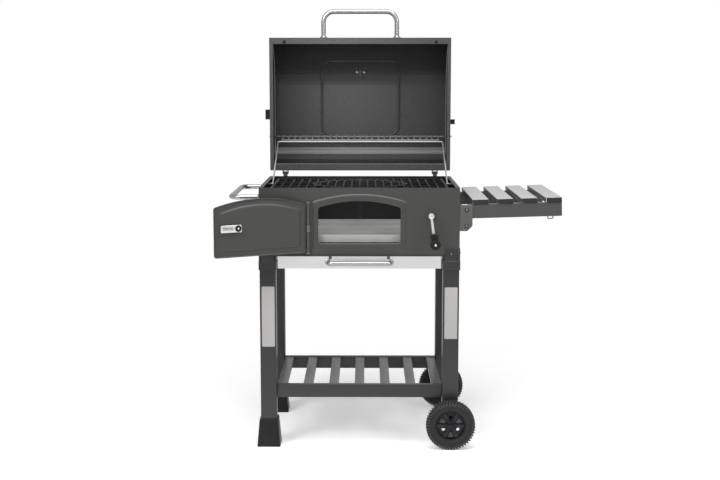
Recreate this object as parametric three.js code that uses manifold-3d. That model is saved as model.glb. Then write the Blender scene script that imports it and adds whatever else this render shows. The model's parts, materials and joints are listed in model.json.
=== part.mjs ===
// Charcoal trolley barbecue with an open hinged lid, a swing-away warming rack, a fire door,
// a crank-lifted charcoal tray, an ash drawer, a slatted side shelf and two wheels.
// Millimetres, +Z up, -Y is the front. The object stands on Z = 0.
import * as THREE from 'three';
import { mergeVertices } from 'three/addons/utils/BufferGeometryUtils.js';
import Module from 'manifold-3d';

const wasm = await Module();
wasm.setup();

// ---------------------------------------------------------------- driving dimensions
const GAP = 0.3;                 // clearance between pieces that touch
const SHEET = 1.5;               // folded sheet steel
const BITE = 1;                  // how far joined shapes run into each other, and a cut past a face
const BAR_BITE = 5;              // the same for a bar or a cut that runs right through

// Fire box. Its height is counted from its floor, and most other heights from its floor or its rim.
const BODY = { width: 620, depth: 460, bottom: 606, height: 212, flange: 13, hem: 8, hemDrop: 6 };
const rimZ = BODY.bottom + BODY.height;
const halfWidth = BODY.width / 2;
const sideInside = halfWidth - SHEET;
const backInside = BODY.depth - SHEET;
const FLOOR_SLOTS = { count: 5, length: 400, width: 34, pitch: 74 };
const MOUTH = { half: 127, bottom: BODY.bottom + 40, shoulder: BODY.bottom + 150, top: BODY.bottom + 171 };
const SURROUND = { half: MOUTH.half + 17, bottom: MOUTH.bottom - 26, shoulder: MOUTH.shoulder + 20,
  top: MOUTH.top + 22, proud: 3 };

// Legs, feet, wheels and lower shelf.
const LEG = { side: 50, wall: 1.5, corner: 6, shortBottom: 58, topGap: 0.5 };
const COLLAR = { bottom: BODY.bottom - 44, top: BODY.bottom - 16, wall: 3, tabTop: BODY.bottom + 24,
  tabInset: 6, tabThick: 2, tabRoot: 2 };
const FOOT = { height: 88, base: 73, head: 58, sole: 6 };
const WHEEL = { radius: 77, width: 34, rim: 46.2, hub: 14, hubWidth: 30, web: 8, gapToLeg: 12,
  holes: 3, holeRadius: 5, holeCircle: 26, rimWall: 5, rimInset: 3, shoulder: 5, seat: 4, seatGap: 0.7 };
const AXLE = { radius: 5, past: 3, running: 0.4 };
const SHELF = { top: 196, rail: 41, railDepth: 20, inset: 12, slats: 7, slat: 30, edge: 2, slatHeight: 12,
  drop: 1.5 };

// Ash drawer and its pull, and the push handle on the left.
const DRAWER = { half: halfWidth - LEG.side - 7.5, top: BODY.bottom - 1, bottom: BODY.bottom - 39,
  depth: BODY.depth - 60, sideInset: 9.5, lip: 9, lipStart: 10, wall: 1.2, clear: 1.5 };
const RUNNER = { foot: 11, height: 11.5, thick: 1.5, start: 8, play: 0.5 };
const PULL = { half: 97, height: BODY.bottom - 19, radius: 6.5, stand: 34, bend: 14 };
const PUSH = { reach: 91, radius: 8, height: rimZ - 33, inset: 40, bend: 32, flange: 15, flangeThick: 3 };

// Lid, its hinges, handle, gauge and vents.
const LID = { half: halfWidth - 1, length: BODY.depth - 9, rear: 235, rearLean: 43, arc: 161, endFlange: 21,
  sideFlange: 12, rimGap: 2, corner: 0.6 };
const LID_HINGE = { back: 9.5, up: 10.5, place: halfWidth - 53, knuckle: 7, radius: 5, pin: 2.5, ear: 3,
  plate: 1.8, base: 14, baseThick: 2, baseTop: 13, baseBottom: 34, webFoot: 20, leafFront: 3, leafBack: 26,
  earHalf: 4, play: 1 };
const LID_HANDLE = { half: 125, radius: 8, stand: 97, bend: 36, height: 30, washer: 14, washerThick: 2.5 };
const GAUGE = { along: LID.length - 115, dial: 27, depth: 12, stem: 4, probe: 34, nut: 8, nutThick: 5,
  bezel: 3, lift: 1 };
const VENT = { radius: 40, thick: 2, up: 189, back: 114, knobOut: 20, knobLong: 33, knobWide: 15,
  knobCircle: 26, ports: 3, port: 9, portCircle: 24 };

// Warming rack. Its front rail turns on the legs, and its rear rail ends lie close to the lid's studs.
const RACK = { half: sideInside - 32.5, rearHalf: sideInside - 11, wire: 1.8, rail: 2.5, count: 27, end: 3,
  depth: 96, tilt: 8.3, frontY: BODY.depth + 95, frontZ: rimZ + 113, past: 4, seat: 0.4 };
const RACK_LEG = { wire: 2.75, topHalf: sideInside - 20.5, footHalf: sideInside - 15.5,
  pivotY: BODY.depth - 98.5, pivotZ: rimZ - 18, bend: 5 };
const STUD = { radius: 2.5, inside: 8, outside: 16 };

// Fire door: X is counted from its hinge axis to its free edge.
const DOOR = { hingeX: -SURROUND.half - 14, hingeY: -6, start: 8, end: 2 * SURROUND.half + 20,
  bottom: SURROUND.bottom - 2, shoulder: SURROUND.shoulder - 6, top: SURROUND.top - 6, open: 153, leaf: 1.5,
  face: -7.5, lip: 3.9, lipWidth: 2 };
const DOOR_HINGE = { radius: 6, pin: 2.5, low: [DOOR.bottom + 1, DOOR.bottom + 62],
  high: [DOOR.shoulder - 65, DOOR.shoulder], past: 6, strap: 30, strapThick: 1.6, play: 1 };
const LATCH = { from: DOOR.end - 75, height: DOOR.bottom + 88, shaft: 4, tongue: 56, tongueWide: 22,
  tongueThick: 2, knob: 17, knobDeep: 20, tongueBack: 0.7, corner: 4 };

// Crank, pinion, toothed bar, lift frame and charcoal tray.
const CRANK = { x: SURROUND.half + 76, z: BODY.bottom + 128, shaft: 5, arm: 4.5, bend: 6, out: 30,
  armOut: 6, armIn: 12, pinOut: 20, knobBack: 14, swing: 86.3, lean: 8, knob: 15.5, knobDeep: 26, bush: 14,
  bushThick: 5, end: 17 };
const GEAR = { teeth: 12, module: 1.5, pressure: 20, addendum: 1.1, dedendum: 1.7, backlash: 0.5, width: 8,
  inside: 6.5 };
const LIFT = { bar: 16, thick: 4, top: BODY.bottom + 40, half: CRANK.x - 14, rise: 96, rackBack: 7,
  toothFoot: 12, toothHead: 3, guide: 16, guideRise: 94, guideWall: 4, guideBack: 3, trayInset: 2 };
const LUG = { thick: 3, reach: 7, low: BODY.bottom + 84, high: BODY.bottom + 114 };
const TRAY = { half: sideInside - 38.5, front: 22, back: BODY.depth - 12, height: 24, wall: 1.5, slots: 5,
  rows: 3, rowPitch: 110, slot: 60, slotWide: 8 };

// Cooking grates: two sides with a round insert between them.
const GRATE = { half: sideInside - 28.5, front: 18, back: BODY.depth - 14, top: rimZ - 6, thick: 8,
  ledge: 1.5, ledgeInset: 20, seat: 7, cell: 26, rib: 5, frame: 8, rows: 3, round: 148, ring: 8, play: 1.5,
  seam: 1, rebate: 3, sides: 28, shy: 0.4 };

// Side shelf, which folds down about a pin in each bracket.
const tableTop = rimZ - 37;
const TABLE = { start: halfWidth + 39, slats: 4, slat: 50, pitch: 75, beamTop: tableTop - 16,
  beamBottom: tableTop - 58, beam: 18, wall: 1.5, rise: 1.7, pivotX: halfWidth + 31, pivotZ: tableTop - 31,
  pivot: 4, pivotPast: 4, beamStart: halfWidth + 24, depth: BODY.depth - 10, play: 0.5, tie: 16,
  tieInset: 10, tieEnd: 5 };
const HOOK = { at: TABLE.start + 239, wire: 1.8, drop: 7, span: 16, root: 4, bend: 3 };
const BRACKET = { bottom: tableTop - 97, top: tableTop - 16, thick: 2.5, reach: halfWidth + 39, flange: 40,
  cut: 16 };

const degrees = THREE.MathUtils.degToRad;

// ---------------------------------------------------------------- materials
const paint = new THREE.MeshStandardMaterial({ color: 0x5a5b57, roughness: 0.55, metalness: 0.35 });
const legPaint = new THREE.MeshStandardMaterial({ color: 0x4a4a49, roughness: 0.55, metalness: 0.3 });
const castIron = new THREE.MeshStandardMaterial({ color: 0x1b1b1b, roughness: 0.75, metalness: 0.4 });
const chrome = new THREE.MeshStandardMaterial({ color: 0xd8dadb, roughness: 0.18, metalness: 1 });
const zinc = new THREE.MeshStandardMaterial({ color: 0xc9cbcb, roughness: 0.35, metalness: 0.9 });
const silver = new THREE.MeshStandardMaterial({ color: 0xa6a8a9, roughness: 0.5, metalness: 0.5 });
const plastic = new THREE.MeshStandardMaterial({ color: 0x161616, roughness: 0.6, metalness: 0 });
const rubber = new THREE.MeshStandardMaterial({ color: 0x1f1f20, roughness: 0.85, metalness: 0 });

// ---------------------------------------------------------------- geometry helpers
/** A closed three.js geometry as a solid that can be joined and cut. */
function solid(geometry) {
  const bare = geometry.clone();
  for (const name of Object.keys(bare.attributes)) if (name !== 'position') bare.deleteAttribute(name);
  const merged = mergeVertices(bare, 1e-4);
  return new wasm.Manifold(new wasm.Mesh({
    numProp: 3,
    vertProperties: new Float32Array(merged.attributes.position.array),
    triVerts: new Uint32Array(merged.index.array),
  }));
}

/** A solid turned back into a geometry. */
function geometryOf(piece) {
  const out = piece.getMesh();
  const geometry = new THREE.BufferGeometry();
  geometry.setAttribute('position', new THREE.BufferAttribute(new Float32Array(out.vertProperties), 3));
  geometry.setIndex(new THREE.BufferAttribute(new Uint32Array(out.triVerts), 1));
  geometry.computeVertexNormals();
  return geometry;
}

function join(...pieces) {
  return pieces.reduce((sum, piece) => sum.add(piece));
}

/** A named sub-part. */
function part(name, piece, material) {
  const geometry = piece.isBufferGeometry ? piece : geometryOf(piece);
  const mesh = new THREE.Mesh(geometry, material);
  mesh.name = name;
  return mesh;
}

/** A box between two corners, with its corners exactly there, so that faces of two boxes can be level. */
function block(x0, x1, y0, y1, z0, z1) {
  const geometry = new THREE.BoxGeometry(1, 1, 1);
  const corner = geometry.attributes.position;
  for (let i = 0; i < corner.count; i += 1) {
    const x = corner.getX(i) < 0 ? x0 : x1;
    const y = corner.getY(i) < 0 ? y0 : y1;
    const z = corner.getZ(i) < 0 ? z0 : z1;
    corner.setXYZ(i, x, y, z);
  }
  return solid(geometry);
}

/** An outline carried from one level to another, both kept exact, then turned to its axis. */
function carried(shape, low, high, curveSegments, turn) {
  const geometry = new THREE.ExtrudeGeometry(shape, { depth: 1, bevelEnabled: false, curveSegments });
  const corner = geometry.attributes.position;
  for (let i = 0; i < corner.count; i += 1) corner.setZ(i, corner.getZ(i) < 0.5 ? low : high);
  return solid(geometry.applyMatrix4(turn));
}

/** An outline in (Y, Z) carried along X from x0 to x1. */
function alongX(shape, x0, x1, curveSegments = 8) {
  const turn = new THREE.Matrix4().set(0, 0, 1, 0, 1, 0, 0, 0, 0, 1, 0, 0, 0, 0, 0, 1);
  return carried(shape, x0, x1, curveSegments, turn);
}

/** An outline in (X, Z) carried along Y from y0 to y1. */
function alongY(shape, y0, y1, curveSegments = 8) {
  const turn = new THREE.Matrix4().set(1, 0, 0, 0, 0, 0, -1, 0, 0, 1, 0, 0, 0, 0, 0, 1);
  return carried(shape, -y1, -y0, curveSegments, turn);
}

/** An outline in (X, Y) carried along Z from z0 to z1. */
function alongZ(shape, z0, z1, curveSegments = 8) {
  return carried(shape, z0, z1, curveSegments, new THREE.Matrix4());
}

/** A round bar between two points. */
function rod(from, to, radius, sides = 12) {
  const a = new THREE.Vector3(...from);
  const b = new THREE.Vector3(...to);
  const geometry = new THREE.CylinderGeometry(radius, radius, a.distanceTo(b), sides);
  const along = b.clone().sub(a).normalize();
  geometry.applyQuaternion(new THREE.Quaternion().setFromUnitVectors(new THREE.Vector3(0, 1, 0), along));
  geometry.translate(...a.clone().add(b).multiplyScalar(0.5).toArray());
  return solid(geometry);
}

/** Straight pieces between fixed points; the points are the curve's own steps. */
class Route extends THREE.Curve {
  constructor(points) {
    super();
    this.points = points;
  }

  getPoint(t) {
    const place = t * (this.points.length - 1);
    const i = Math.min(Math.floor(place), this.points.length - 2);
    return this.points[i].clone().lerp(this.points[i + 1], place - i);
  }

  getPointAt(u) {
    return this.getPoint(u);
  }

  getTangentAt(u) {
    const last = this.points.length - 1;
    const i = Math.round(u * last);
    const before = this.points[Math.max(i - 1, 0)];
    const after = this.points[Math.min(i + 1, last)];
    return after.clone().sub(before).normalize();
  }
}

/** A bent round bar through corner points, each inner corner rounded to the bend radius. */
function bentRod(corners, radius, bend, sides = 10, steps = 4) {
  const at = corners.map((c) => new THREE.Vector3(...c));
  const points = [at[0]];
  for (let i = 1; i < at.length - 1; i += 1) {
    const back = at[i - 1].clone().sub(at[i]).normalize();
    const ahead = at[i + 1].clone().sub(at[i]).normalize();
    const reach = bend / Math.tan(back.angleTo(ahead) / 2);
    const curve = new THREE.QuadraticBezierCurve3(
      at[i].clone().addScaledVector(back, reach), at[i], at[i].clone().addScaledVector(ahead, reach));
    points.push(...curve.getPoints(steps));
  }
  points.push(at[at.length - 1]);
  const section = new THREE.Shape().absarc(0, 0, radius, 0, Math.PI * 2);
  const outline = new THREE.Shape(section.getSpacedPoints(sides).slice(0, sides));
  const extrudePath = new Route(points);
  return solid(new THREE.ExtrudeGeometry(outline, { extrudePath, steps: points.length - 1 }));
}

/** A turned piece: (radius, height) points about an axis through `at` that points along `axis`. */
function turned(profile, at, axis, sides = 24) {
  const geometry = new THREE.LatheGeometry(profile.map(([r, h]) => new THREE.Vector2(r, h)), sides);
  const up = new THREE.Vector3(0, 1, 0);
  const to = new THREE.Vector3(...axis).normalize();
  geometry.applyQuaternion(new THREE.Quaternion().setFromUnitVectors(up, to));
  geometry.translate(...at);
  return solid(geometry);
}

function disc(radius, h0, h1) {
  return [[0, h0], [radius, h0], [radius, h1], [0, h1]];
}

function washer(inner, outer, h0, h1) {
  return [[inner, h0], [outer, h0], [outer, h1], [inner, h1], [inner, h0]];
}

function rectangle(x0, x1, y0, y1, corner = 0) {
  const shape = new THREE.Shape();
  if (corner <= 0) {
    return shape.moveTo(x0, y0).lineTo(x1, y0).lineTo(x1, y1).lineTo(x0, y1).closePath();
  }
  shape.moveTo(x0 + corner, y0).lineTo(x1 - corner, y0);
  shape.absarc(x1 - corner, y0 + corner, corner, -Math.PI / 2, 0);
  shape.lineTo(x1, y1 - corner).absarc(x1 - corner, y1 - corner, corner, 0, Math.PI / 2);
  shape.lineTo(x0 + corner, y1).absarc(x0 + corner, y1 - corner, corner, Math.PI / 2, Math.PI);
  return shape.lineTo(x0, y0 + corner).absarc(x0 + corner, y0 + corner, corner, Math.PI, Math.PI * 1.5);
}

/** A rectangle with a shallow arch on top; its sides stand at x0 and x1. */
function archShape(x0, x1, bottom, shoulder, top) {
  const middle = (x0 + x1) / 2;
  return new THREE.Shape().moveTo(x0, bottom).lineTo(x1, bottom).lineTo(x1, shoulder)
    .quadraticCurveTo(middle, 2 * top - shoulder, x0, shoulder).closePath();
}

function polygon(points) {
  return new THREE.Shape(points.map(([x, y]) => new THREE.Vector2(x, y)));
}

/** An inverted channel section, open below. */
function channelShape(x0, x1, bottom, top, wall) {
  return polygon([[x0, bottom], [x0 + wall, bottom], [x0 + wall, top - wall], [x1 - wall, top - wall],
    [x1 - wall, bottom], [x1, bottom], [x1, top], [x0, top]]);
}

// ---------------------------------------------------------------- fire box
function ledge(y0, y1) {
  const top = GRATE.top - GRATE.thick - GAP;
  const half = sideInside - GRATE.ledgeInset;
  return block(-half, half, y0, y1, top - GRATE.ledge, top);
}

function frontPanel() {
  const sheet = rectangle(-halfWidth, halfWidth, BODY.bottom, rimZ);
  const mouth = archShape(-MOUTH.half, MOUTH.half, MOUTH.bottom, MOUTH.shoulder, MOUTH.top);
  sheet.holes.push(mouth);
  const surround = archShape(-SURROUND.half, SURROUND.half, SURROUND.bottom, SURROUND.shoulder, SURROUND.top);
  surround.holes.push(mouth);
  const hem = block(-halfWidth, halfWidth, 0, BODY.hem, rimZ - BODY.hemDrop, rimZ);
  const hole = rod([CRANK.x, -BITE, CRANK.z], [CRANK.x, SHEET + BITE, CRANK.z], CRANK.shaft + 2 * GAP, 16);
  return join(alongY(sheet, 0, SHEET, 12), alongY(surround, -SURROUND.proud, 0, 12), hem,
    ledge(SHEET, GRATE.front + GRATE.seat)).subtract(hole);
}

function backPanel() {
  const sheet = block(-halfWidth, halfWidth, backInside, BODY.depth, BODY.bottom, rimZ);
  const hem = block(-halfWidth, halfWidth, BODY.depth - BODY.hem, BODY.depth, rimZ - BODY.hemDrop, rimZ);
  const lugs = [-1, 1].map((side) => {
    const near = LIFT.guide / 2 + GAP;
    const xs = [side * near, side * (near + LUG.thick)].sort((a, b) => a - b);
    return block(...xs, backInside - LUG.reach, backInside, LUG.low, LUG.high);
  });
  return join(sheet, hem, ledge(GRATE.back - GRATE.seat, backInside), ...lugs);
}

function sidePanel(side) {
  const wall = [side * sideInside, side * halfWidth].sort((a, b) => a - b);
  const rim = [side * (halfWidth - BODY.flange), side * halfWidth].sort((a, b) => a - b);
  const hemY0 = BODY.hem + GAP;
  const hemY1 = BODY.depth - BODY.hem - GAP;
  const underHem = rimZ - BODY.hemDrop - GAP;
  return join(block(...wall, SHEET + GAP, backInside - GAP, BODY.bottom, underHem),
    block(...wall, hemY0, hemY1, underHem - BITE, rimZ),
    block(...rim, hemY0, hemY1, rimZ - SHEET, rimZ));
}

function floorPanel() {
  const inset = SHEET + GAP;
  const top = BODY.bottom + SHEET;
  let floor = block(-halfWidth + inset, halfWidth - inset, inset, BODY.depth - inset, BODY.bottom, top);
  for (let i = 0; i < FLOOR_SLOTS.count; i += 1) {
    const y = BODY.depth / 2 + (i - (FLOOR_SLOTS.count - 1) / 2) * FLOOR_SLOTS.pitch;
    floor = floor.subtract(block(-FLOOR_SLOTS.length / 2, FLOOR_SLOTS.length / 2, y - FLOOR_SLOTS.width / 2,
      y + FLOOR_SLOTS.width / 2, BODY.bottom - BITE, top + BITE));
  }
  return floor;
}

// ---------------------------------------------------------------- legs, feet, wheels
/** A square tube leg under one corner, with the collar and corner tabs that hold the fire box. */
function leg(side, rear, bottom) {
  const x0 = side > 0 ? halfWidth - LEG.side : -halfWidth;
  const y0 = rear ? BODY.depth - LEG.side : 0;
  const x1 = x0 + LEG.side;
  const y1 = y0 + LEG.side;
  const top = BODY.bottom - LEG.topGap;
  const tube = rectangle(x0, x1, y0, y1, LEG.corner);
  const t = LEG.wall;
  tube.holes.push(rectangle(x0 + t, x1 - t, y0 + t, y1 - t, LEG.corner - t));
  const w = COLLAR.wall;
  const ring = rectangle(x0 - w, x1 + w, y0 - w, y1 + w, LEG.corner + w);
  ring.holes.push(rectangle(x0 + BITE, x1 - BITE, y0 + BITE, y1 - BITE, LEG.corner - BITE));
  const out = GAP + COLLAR.tabThick;
  const faceY = rear ? [BODY.depth + GAP, BODY.depth + out] : [-out, -GAP];
  const faceX = side > 0 ? [halfWidth + GAP, halfWidth + out] : [-halfWidth - out, -halfWidth - GAP];
  const inset = COLLAR.tabInset;
  let piece = join(alongZ(tube, bottom, top, 1), alongZ(ring, COLLAR.bottom, COLLAR.top, 1),
    block(x0 + inset, x1 - inset, ...faceY, COLLAR.top - COLLAR.tabRoot, COLLAR.tabTop),
    block(...faceX, y0 + inset, y1 - inset, COLLAR.top - COLLAR.tabRoot, COLLAR.tabTop));
  if (bottom < axleZ) {
    const bore = AXLE.radius + AXLE.running;
    piece = piece.subtract(rod([axleX, y0 - BAR_BITE, axleZ], [axleX, y1 + BAR_BITE, axleZ], bore, 12));
  }
  return piece;
}

/** A flared plastic foot with a square socket for its leg. */
function foot(rear) {
  const x = -halfWidth + LEG.side / 2;
  const y = rear ? BODY.depth - LEG.side / 2 : LEG.side / 2;
  const geometry = new THREE.CylinderGeometry(FOOT.head / Math.SQRT2, FOOT.base / Math.SQRT2, FOOT.height, 4);
  geometry.rotateX(Math.PI / 2);
  geometry.rotateZ(Math.PI / 4);
  geometry.translate(x, y, FOOT.height / 2);
  const half = LEG.side / 2 + GAP;
  return solid(geometry).subtract(
    alongZ(rectangle(x - half, x + half, y - half, y + half, LEG.corner), FOOT.sole, FOOT.height + BITE, 1));
}

const axleX = halfWidth - LEG.side / 2;
const axleZ = WHEEL.radius;
const wheelFrontY = -WHEEL.gapToLeg - WHEEL.width / 2;
const wheelBackY = BODY.depth + WHEEL.gapToLeg + WHEEL.width / 2;

function axle() {
  const past = WHEEL.width / 2 + AXLE.past;
  return rod([axleX, wheelFrontY - past, axleZ], [axleX, wheelBackY + past, axleZ], AXLE.radius, 12);
}

function tyre(y) {
  const half = WHEEL.width / 2;
  const inner = WHEEL.rim + WHEEL.seatGap;
  const { radius, shoulder, seat } = WHEEL;
  return turned([[inner, -half + seat], [radius - shoulder, -half], [radius, -half + shoulder],
    [radius, half - shoulder], [radius - shoulder, half], [inner, half - seat], [inner, -half + seat]],
  [axleX, y, axleZ], [0, 1, 0], 32);
}

function rim(y) {
  const half = WHEEL.hubWidth / 2;
  const bore = AXLE.radius + AXLE.running;
  const lip = WHEEL.rim - WHEEL.rimWall;
  const edge = half - WHEEL.rimInset;
  const web = WHEEL.web / 2;
  let wheel = turned([[bore, -half], [WHEEL.hub, -half], [WHEEL.hub, -web], [lip, -web], [lip, -edge],
    [WHEEL.rim, -edge], [WHEEL.rim, edge], [lip, edge], [lip, web], [WHEEL.hub, web], [WHEEL.hub, half],
    [bore, half], [bore, -half]], [axleX, y, axleZ], [0, 1, 0], 16);
  for (let i = 0; i < WHEEL.holes; i += 1) {
    const turn = degrees(90 + i * 360 / WHEEL.holes);
    const x = axleX + WHEEL.holeCircle * Math.cos(turn);
    const z = axleZ + WHEEL.holeCircle * Math.sin(turn);
    wheel = wheel.subtract(rod([x, y - half, z], [x, y + half, z], WHEEL.holeRadius, 8));
  }
  return wheel;
}

// ---------------------------------------------------------------- lower shelf
const railReach = halfWidth - LEG.side - GAP;
const railFrontY = SHELF.inset;
const railBackY = BODY.depth - LEG.side + GAP;
const slatPitch = (2 * (halfWidth - LEG.side - SHELF.edge) - SHELF.slat) / (SHELF.slats - 1);

function shelfRail(y0) {
  const bottom = SHELF.top - SHELF.rail;
  return alongX(channelShape(y0, y0 + SHELF.railDepth, bottom, SHELF.top, SHEET), -railReach, railReach);
}

function shelfSlat(index) {
  const x = (index - (SHELF.slats - 1) / 2) * slatPitch;
  const top = SHELF.top - SHELF.drop;
  return alongY(channelShape(x - SHELF.slat / 2, x + SHELF.slat / 2, top - SHELF.slatHeight, top, SHEET),
    railFrontY + SHELF.railDepth + GAP, railBackY - GAP);
}

// ---------------------------------------------------------------- push handle
function pushHandle() {
  const wall = -halfWidth - GAP;
  const out = -halfWidth - PUSH.reach;
  const y0 = PUSH.inset;
  const y1 = BODY.depth - PUSH.inset;
  const z = PUSH.height;
  const corners = [[wall, y0, z], [out, y0, z], [out, y1, z], [wall, y1, z]];
  const loop = bentRod(corners, PUSH.radius, PUSH.bend, 10, 4);
  const plate = disc(PUSH.flange, 0, PUSH.flangeThick);
  const flanges = [y0, y1].map((y) => turned(plate, [wall, y, z], [-1, 0, 0], 14));
  return join(loop, ...flanges);
}

// ---------------------------------------------------------------- ash drawer
function drawerRunner(side) {
  const outer = DRAWER.half + RUNNER.thick * 2 + RUNNER.play;
  const top = BODY.bottom - GAP;
  const low = top - RUNNER.height;
  const t = RUNNER.thick;
  const shape = polygon([[outer - RUNNER.foot, low], [outer, low], [outer, top], [outer - t, top],
    [outer - t, low + t], [outer - RUNNER.foot, low + t]]);
  const piece = alongY(shape, SHEET + RUNNER.start, DRAWER.depth + SHEET);
  return side > 0 ? piece : piece.mirror([1, 0, 0]);
}

function ashDrawer() {
  const w = DRAWER.wall;
  const lipBottom = BODY.bottom - GAP - RUNNER.height + RUNNER.thick + GAP;
  const floor = DRAWER.bottom + DRAWER.clear;
  const half = DRAWER.half - DRAWER.sideInset;
  const front = block(-DRAWER.half, DRAWER.half, 0, SHEET, DRAWER.bottom, DRAWER.top);
  const tub = block(-half, half, SHEET / 2, DRAWER.depth, floor, lipBottom + w)
    .subtract(block(-half + w, half - w, SHEET, DRAWER.depth - w, floor + w, lipBottom + w + BITE));
  const lips = [-1, 1].map((side) => {
    const xs = [side * (half - w), side * (half + DRAWER.lip)].sort((a, b) => a - b);
    return block(...xs, SHEET + DRAWER.lipStart, DRAWER.depth, lipBottom, lipBottom + w);
  });
  return join(front, tub, ...lips);
}

function drawerHandle() {
  const y = -PULL.stand;
  return bentRod([[-PULL.half, -GAP, PULL.height], [-PULL.half, y, PULL.height], [PULL.half, y, PULL.height],
    [PULL.half, -GAP, PULL.height]], PULL.radius, PULL.bend, 10, 4);
}

// ---------------------------------------------------------------- lid
// The lid is modelled open: what is its opening when shut is an upright plane behind the fire box.
const hingeY = BODY.depth + LID_HINGE.back;
const hingeZ = rimZ + LID_HINGE.up;
const mouthY = hingeY - (LID_HINGE.up - LID.rimGap);
const lidBottom = hingeZ + LID_HINGE.back - LID_HINGE.play;
const lidTop = lidBottom + LID.length;

/** The lid's side outline in (Y, Z), moved inwards by a wall thickness. */
function lidOutline(inwards) {
  const back = mouthY + LID.rear - inwards;
  const arc = LID.arc - inwards;
  const centreY = mouthY + LID.rear - LID.arc;
  const centreZ = lidTop - LID.arc;
  const slope = LID.rearLean / LID.rear;
  const lean = inwards * Math.sqrt(1 + slope * slope);
  const curve = new THREE.Path().absarc(centreY, centreZ, arc, 0, Math.PI / 2).getPoints(10);
  return [[mouthY, lidBottom + lean], [back, lidBottom + lean + slope * (LID.rear - inwards)],
    ...curve.map((p) => [p.x, p.y]), [mouthY, lidTop - inwards]];
}

/** A point on the lid's outer curve, at a distance from the rear edge, with its outward direction. */
function lidPoint(along) {
  const rise = along - (LID.length - LID.arc);
  const angle = rise > 0 ? Math.asin(rise / LID.arc) : 0;
  return {
    y: mouthY + LID.rear - LID.arc * (1 - Math.cos(angle)),
    z: lidBottom + along,
    normal: [0, Math.cos(angle), Math.sin(angle)],
  };
}

function lidPanel() {
  const outer = lidOutline(0);
  const inner = lidOutline(SHEET).reverse();
  const inside = LID.half - SHEET - GAP;
  const shell = alongX(polygon([...outer, ...inner]), -inside, inside);
  const flanges = [[lidBottom + LID.corner, lidBottom + LID.endFlange], [lidTop - LID.endFlange, lidTop]]
    .map((zs) => block(-inside, inside, mouthY, mouthY + SHEET, ...zs));
  const gauge = lidPoint(GAUGE.along);
  const [, ny, nz] = gauge.normal;
  const ends = [-BAR_BITE, BAR_BITE].map((reach) => [0, gauge.y + reach * ny, gauge.z + reach * nz]);
  const hole = rod(...ends, GAUGE.stem + GAP, 12);
  return join(shell, ...flanges).subtract(hole);
}

function lidSide(side) {
  const outer = polygon(lidOutline(0));
  const [x0, x1] = [side * (LID.half - SHEET), side * LID.half].sort((a, b) => a - b);
  const rimX = [side * (LID.half - LID.sideFlange), side * LID.half].sort((a, b) => a - b);
  const lip = LID.endFlange + GAP;
  let plate = join(alongX(outer, x0, x1),
    block(...rimX, mouthY, mouthY + SHEET, lidBottom + lip, lidTop - lip));
  const at = ventCentre();
  for (let i = 0; i < VENT.ports; i += 1) {
    const turn = degrees(90 + i * 360 / VENT.ports);
    const y = at.y + VENT.portCircle * Math.cos(turn);
    const z = at.z + VENT.portCircle * Math.sin(turn);
    plate = plate.subtract(rod([x0 - BITE, y, z], [x1 + BITE, y, z], VENT.port, 12));
  }
  const pin = rackRearPoint();
  const stud = [side * (LID.half - STUD.inside), side * (LID.half + STUD.outside)];
  return plate.add(rod([stud[0], pin.y, pin.z], [stud[1], pin.y, pin.z], STUD.radius, 10));
}

function lidHandle() {
  const y = mouthY + LID_HANDLE.height;
  const base = lidTop + GAP;
  const top = lidTop + LID_HANDLE.stand - LID_HANDLE.radius;
  const half = LID_HANDLE.half;
  const bow = bentRod([[-half, y, base], [-half, y, top], [half, y, top], [half, y, base]], LID_HANDLE.radius,
    LID_HANDLE.bend, 10, 4);
  const plate = disc(LID_HANDLE.washer, 0, LID_HANDLE.washerThick);
  const washers = [-half, half].map((x) => turned(plate, [x, y, base], [0, 0, 1], 14));
  return join(bow, ...washers);
}

function thermometer() {
  const { y, z, normal } = lidPoint(GAUGE.along);
  const { dial, depth, stem, nut, bezel } = GAUGE;
  const inner = -SHEET - GAP;
  const nutEnd = inner - GAUGE.nutThick;
  const tip = nutEnd - GAUGE.probe;
  const probe = stem - 1;
  return turned([[0, tip], [probe, tip], [probe, nutEnd], [nut, nutEnd], [nut, inner], [stem, inner],
    [stem, GAUGE.lift], [dial, GAUGE.lift], [dial, depth - bezel], [dial - bezel, depth], [0, depth]],
  [0, y, z], normal, 16);
}

// The lid hinge: a fixed knuckle on the back panel between two ears with a pin on the lid.
function hingeBase(x) {
  const wall = BODY.depth + GAP;
  const { radius, knuckle, baseThick, baseTop, baseBottom } = LID_HINGE;
  const low = hingeZ - baseBottom;
  const high = hingeZ - baseTop;
  const web = polygon([[wall, low], [wall + baseThick, low], [wall + baseThick, hingeZ - LID_HINGE.webFoot],
    [hingeY + radius, hingeZ], [hingeY, hingeZ], [hingeY - radius, hingeZ - baseThick],
    [wall + baseThick, high], [wall, high]]);
  const plate = block(x - LID_HINGE.base, x + LID_HINGE.base, wall, wall + baseThick, low, high);
  const barrel = turned(disc(radius, x - knuckle, x + knuckle), [0, hingeY, hingeZ], [1, 0, 0], 16);
  const bore = rod([x - knuckle - BITE, hingeY, hingeZ], [x + knuckle + BITE, hingeY, hingeZ],
    LID_HINGE.pin + GAP, 12);
  return join(alongX(web, x - knuckle, x + knuckle), plate, barrel).subtract(bore);
}

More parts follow.
